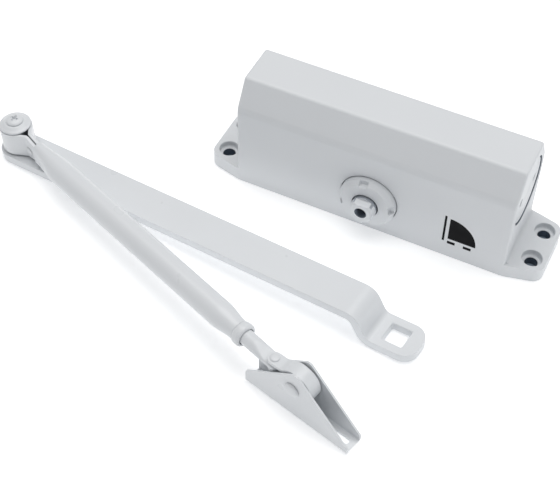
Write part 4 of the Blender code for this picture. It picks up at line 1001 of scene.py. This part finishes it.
def makeLink():
    k = link
    leaf = tube["flat"] / 2 + gap + k["sheet"] / 2
    middle = k["barrel"] - k["sheet"] / 2
    cx, cz = pinInLink.x, pinInLink.z
    tip = -k["width"] / 2
    first = pi - atan2(leaf - cz, sqrt(middle ** 2 - (leaf - cz) ** 2))
    last = -pi + radians(6)
    wrap = [(cx + cos(a) * middle, cz + sin(a) * middle) for a in
            (first + (last - first) * i / 44 for i in range(45))]
    path = [(tip, leaf), (wrap[0][0] - 2.2 * mm, leaf), (wrap[0][0] - 0.9 * mm, leaf + 0.15 * mm)]
    path += wrap[1:-1] + [(wrap[-1][0] - 1.6 * mm, -leaf), (tip, -leaf)]
    bm = sheetPath(path, k["width"])
    corners = [v for v in bm.verts if abs(v.co.x - tip) < 1e-6]
    bmesh.ops.bevel(bm, geom=corners, offset=k["width"] / 2 * 0.98, offset_type="OFFSET", segments=9,
                    profile=0.5, affect="VERTICES", material=-1)
    strap = toPiece("linkStrap", bm, None, armPowder)
    thicken(strap, k["sheet"], 0.0, 0.25 * mm)
    carve(strap, [tool(rod(elbow["rivet"] + gap, -7 * mm, 7 * mm, 40))])
    strap.data.transform(linkFrame)
    fit(strap, "link", "powder_coat", "link_strap")
    rivet = makeRivet("linkRivet", elbow["rivet"], leaf + k["sheet"] / 2 + hair, 0.5 * mm, linkFrame,
                      armPowder)
    fit(rivet, "link", "bright_steel", "link_rivet")
    outer, inner, half = k["barrel"] - k["sheet"] - gap, k["pin"] + gap, k["width"] / 2
    bush = turn([(outer, half), (outer, -half), (inner, -half), (inner, half)], 64, ring=True)
    roundEdges(bush, 0.3 * mm, 2, 60)
    fit(toPiece("linkBush", bush, linkFrame @ place(cx, 0, cz) @ alongFront, zinc),
        "link", "bright_steel", "link_bush")


makeLink()
print("link done")


# ---- shoe
shoe = {"width": 10.0 * mm, "sheet": 1.0 * mm, "length": 58.1 * mm, "pinFromTip": 26.9 * mm,
        "pinHeight": 19.6 * mm, "peak": 31.5 * mm, "slotWide": 2.8 * mm, "slotLong": 8.5 * mm,
        "pinRadius": 2.3 * mm, "pinHead": 3.7 * mm, "headThick": 1.2 * mm, "washer": 5.0 * mm,
        "screwHole": 2.3 * mm}


def makeShoe():
    s = shoe
    tip, floor, out, wall = -s["pinFromTip"], -s["pinHeight"], s["width"] / 2, s["sheet"]
    end = tip + s["length"]
    tall = s["peak"] + 8.5 * mm
    channel = slab([(-out, 0, 1.7 * wall), (out, 0, 1.7 * wall), (out, tall, 0), (out - wall, tall, 0),
                    (out - wall, wall, 0.7 * wall), (wall - out, wall, 0.7 * wall),
                    (wall - out, tall, 0), (-out, tall, 0)], -s["length"], s["length"])
    piece = toPiece("shoeBracket", channel, place(z=floor) @ endOn, armPowder)
    ears = slab([
        (tip, floor, 2.2 * mm), (end, floor, 1.5 * mm), (end - 0.2 * mm, floor + 4.0 * mm, 1.8 * mm),
        (tip + 28.5 * mm, floor + s["peak"], 2.4 * mm), (tip, floor + 8.2 * mm, 2.4 * mm)],
        -s["width"], s["width"])
    carve(piece, [tool(ears, sideOn)], "INTERSECT", 30)
    wide, long = s["slotWide"] / 2, s["slotLong"] / 2
    slot = slab([(-long, wide, wide), (-long, -wide, wide), (long, -wide, wide), (long, wide, wide)],
                -3 * mm, 3 * mm)
    tools = [tool(slot, place(end - 3.0 * mm - long, 0, floor)),
             tool(rod(s["screwHole"], -3 * mm, 3 * mm, 40), place(tip + 12 * mm, 0, floor)),
             tool(rod(s["pinRadius"] + gap, -20 * mm, 20 * mm, 40), alongFront)]
    carve(piece, tools, "DIFFERENCE", 30)
    easeEdges(piece, 0.25 * mm, 2)
    piece.data.transform(shoeFrame)
    fit(piece, "shoe", "powder_coat", "shoe_bracket")

    face, r, head = out + hair, s["pinRadius"], s["pinHead"]
    far = face + s["headThick"]
    front = [(0, far), (head - 1.0 * mm, far - 0.03 * mm), (head - 0.3 * mm, far - 0.3 * mm),
             (head, far - 0.75 * mm), (head, face), (r, face)]
    bm = turn(front + [(radius, -height) for radius, height in reversed(front)], 48)
    fit(toPiece("shoePin", bm, shoeFrame @ alongFront, armPowder, 50), "shoe", "powder_coat", "shoe_pin")
    inside = out - wall
    thick = inside - link["width"] / 2 - 2 * hair
    for name, side, node in (("shoeWasherFront", -1, "shoe_washer_front"),
                             ("shoeWasherBack", 1, "shoe_washer_back")):
        bm = turn([(s["washer"], thick / 2), (s["washer"], -thick / 2), (r + hair, -thick / 2),
                   (r + hair, thick / 2)], 48, ring=True)
        middle = side * (inside - hair - thick / 2)
        fit(toPiece(name, bm, shoeFrame @ place(y=middle) @ alongFront, oiledSteel),
            "shoe", "oiled_steel", node)


makeShoe()
print("shoe done")


# ---- spring, and finishes of the inner pieces that keep their CAD shape
spring = {"wire": 1.9 * mm, "mean": 11.4 * mm, "from": 11.4 * mm, "to": 60.2 * mm, "coils": 4,
          "perTurn": 36, "round": 14}


def makeSpring():
    s = spring
    start, end = s["from"] + s["wire"], s["to"] - s["wire"]
    closed = 2 * s["wire"] + gap
    turns, angle = s["coils"] + 2, 2 * pi / s["perTurn"]
    bm = bmesh.new()
    ring = bmesh.ops.create_circle(bm, cap_ends=True, segments=s["round"], radius=s["wire"],
                                   matrix=place(start, s["mean"], 0) @ Matrix.Rotation(pi / 2, 4, "X")
                                   @ Matrix.Rotation(pi / 2, 4, "Y") @ Matrix.Rotation(pi / 2, 4, "X"))
    geom = bm.verts[:] + bm.edges[:] + bm.faces[:]
    for index in range(turns):
        lead = closed if index in (0, turns - 1) else (end - start - 2 * closed) / s["coils"]
        made = bmesh.ops.spin(bm, geom=geom, axis=(1, 0, 0), cent=(0, 0, 0), steps=s["perTurn"],
                              angle=2 * pi, dvec=(lead / s["perTurn"], 0, 0))["geom_last"]
        geom = made
    piece = toPiece("closingSpring", bm, place(z=casting["boreHeight"]), oiledSteel, 40)
    fit(piece, "closer_body", "oiled_steel", "closing_spring")
    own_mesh(piece)


makeSpring()
innerFinish = {
    "piston": oiledSteel, "piston_seal": nitrile, "check_ball": zinc, "check_retainer": turnedBrass,
    "valve_screw_closing": turnedBrass, "valve_screw_latching": turnedBrass,
    "valve_seal_closing": nitrile, "valve_seal_latching": nitrile,
    "end_plug_seal_left": nitrile, "end_plug_seal_right": nitrile,
    "spindle_seal_front": nitrile, "spindle_seal_back": nitrile,
    "spindle_bearing_front": turnedBrass, "spindle_bearing_back": turnedBrass,
}
for nodeName, material in innerFinish.items():
    node = frame["nodes"][nodeName]
    node.data.materials.clear()
    node.data.materials.append(material)
print("inner pieces done")


# ---- printed mark: a plain door-swing sign
mark = {"x": 48.5 * mm, "z": 19.5 * mm, "size": 14.0 * mm, "line": 1.1 * mm, "thick": 0.03 * mm}


def makeMark():
    m = mark
    low, high = -m["thick"], m["thick"]
    size, line = m["size"], m["line"]
    sector = bmesh.new()
    centre = sector.verts.new((0, 0, low))
    edgeVert = sector.verts.new((size, 0, low))
    edge = sector.edges.new((centre, edgeVert))
    bmesh.ops.spin(sector, geom=[centre, edgeVert, edge], axis=(0, 0, 1), cent=(0, 0, 0), steps=32,
                   angle=pi / 2)
    bmesh.ops.remove_doubles(sector, verts=sector.verts, dist=0.0000001)
    raised = bmesh.ops.extrude_face_region(sector, geom=sector.faces[:])["geom"]
    bmesh.ops.translate(sector, vec=(0, 0, high - low),
                        verts=[v for v in raised if isinstance(v, bmesh.types.BMVert)])
    corner = place(m["x"] - size / 2, -casting["halfWidth"], m["z"] - size / 2) @ alongFront
    piece = toPiece("swingMark", sector, corner, ink)
    bars = [
        brick((line, size + 3 * line, high - low)),      # closed door leaf
        brick((size * 0.28, line * 1.6, high - low)),
        brick((size * 0.28, line * 1.6, high - low)),
    ]
    spots = [place(-2 * line, size / 2 - line / 2, 0), place(size * 0.14, -2.2 * line, 0),
             place(size * 0.72, -2.2 * line, 0)]
    carve(piece, [tool(b, corner @ spot) for b, spot in zip(bars, spots)], "UNION")
    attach(piece, "closer_body")


makeMark()
print("mark done")
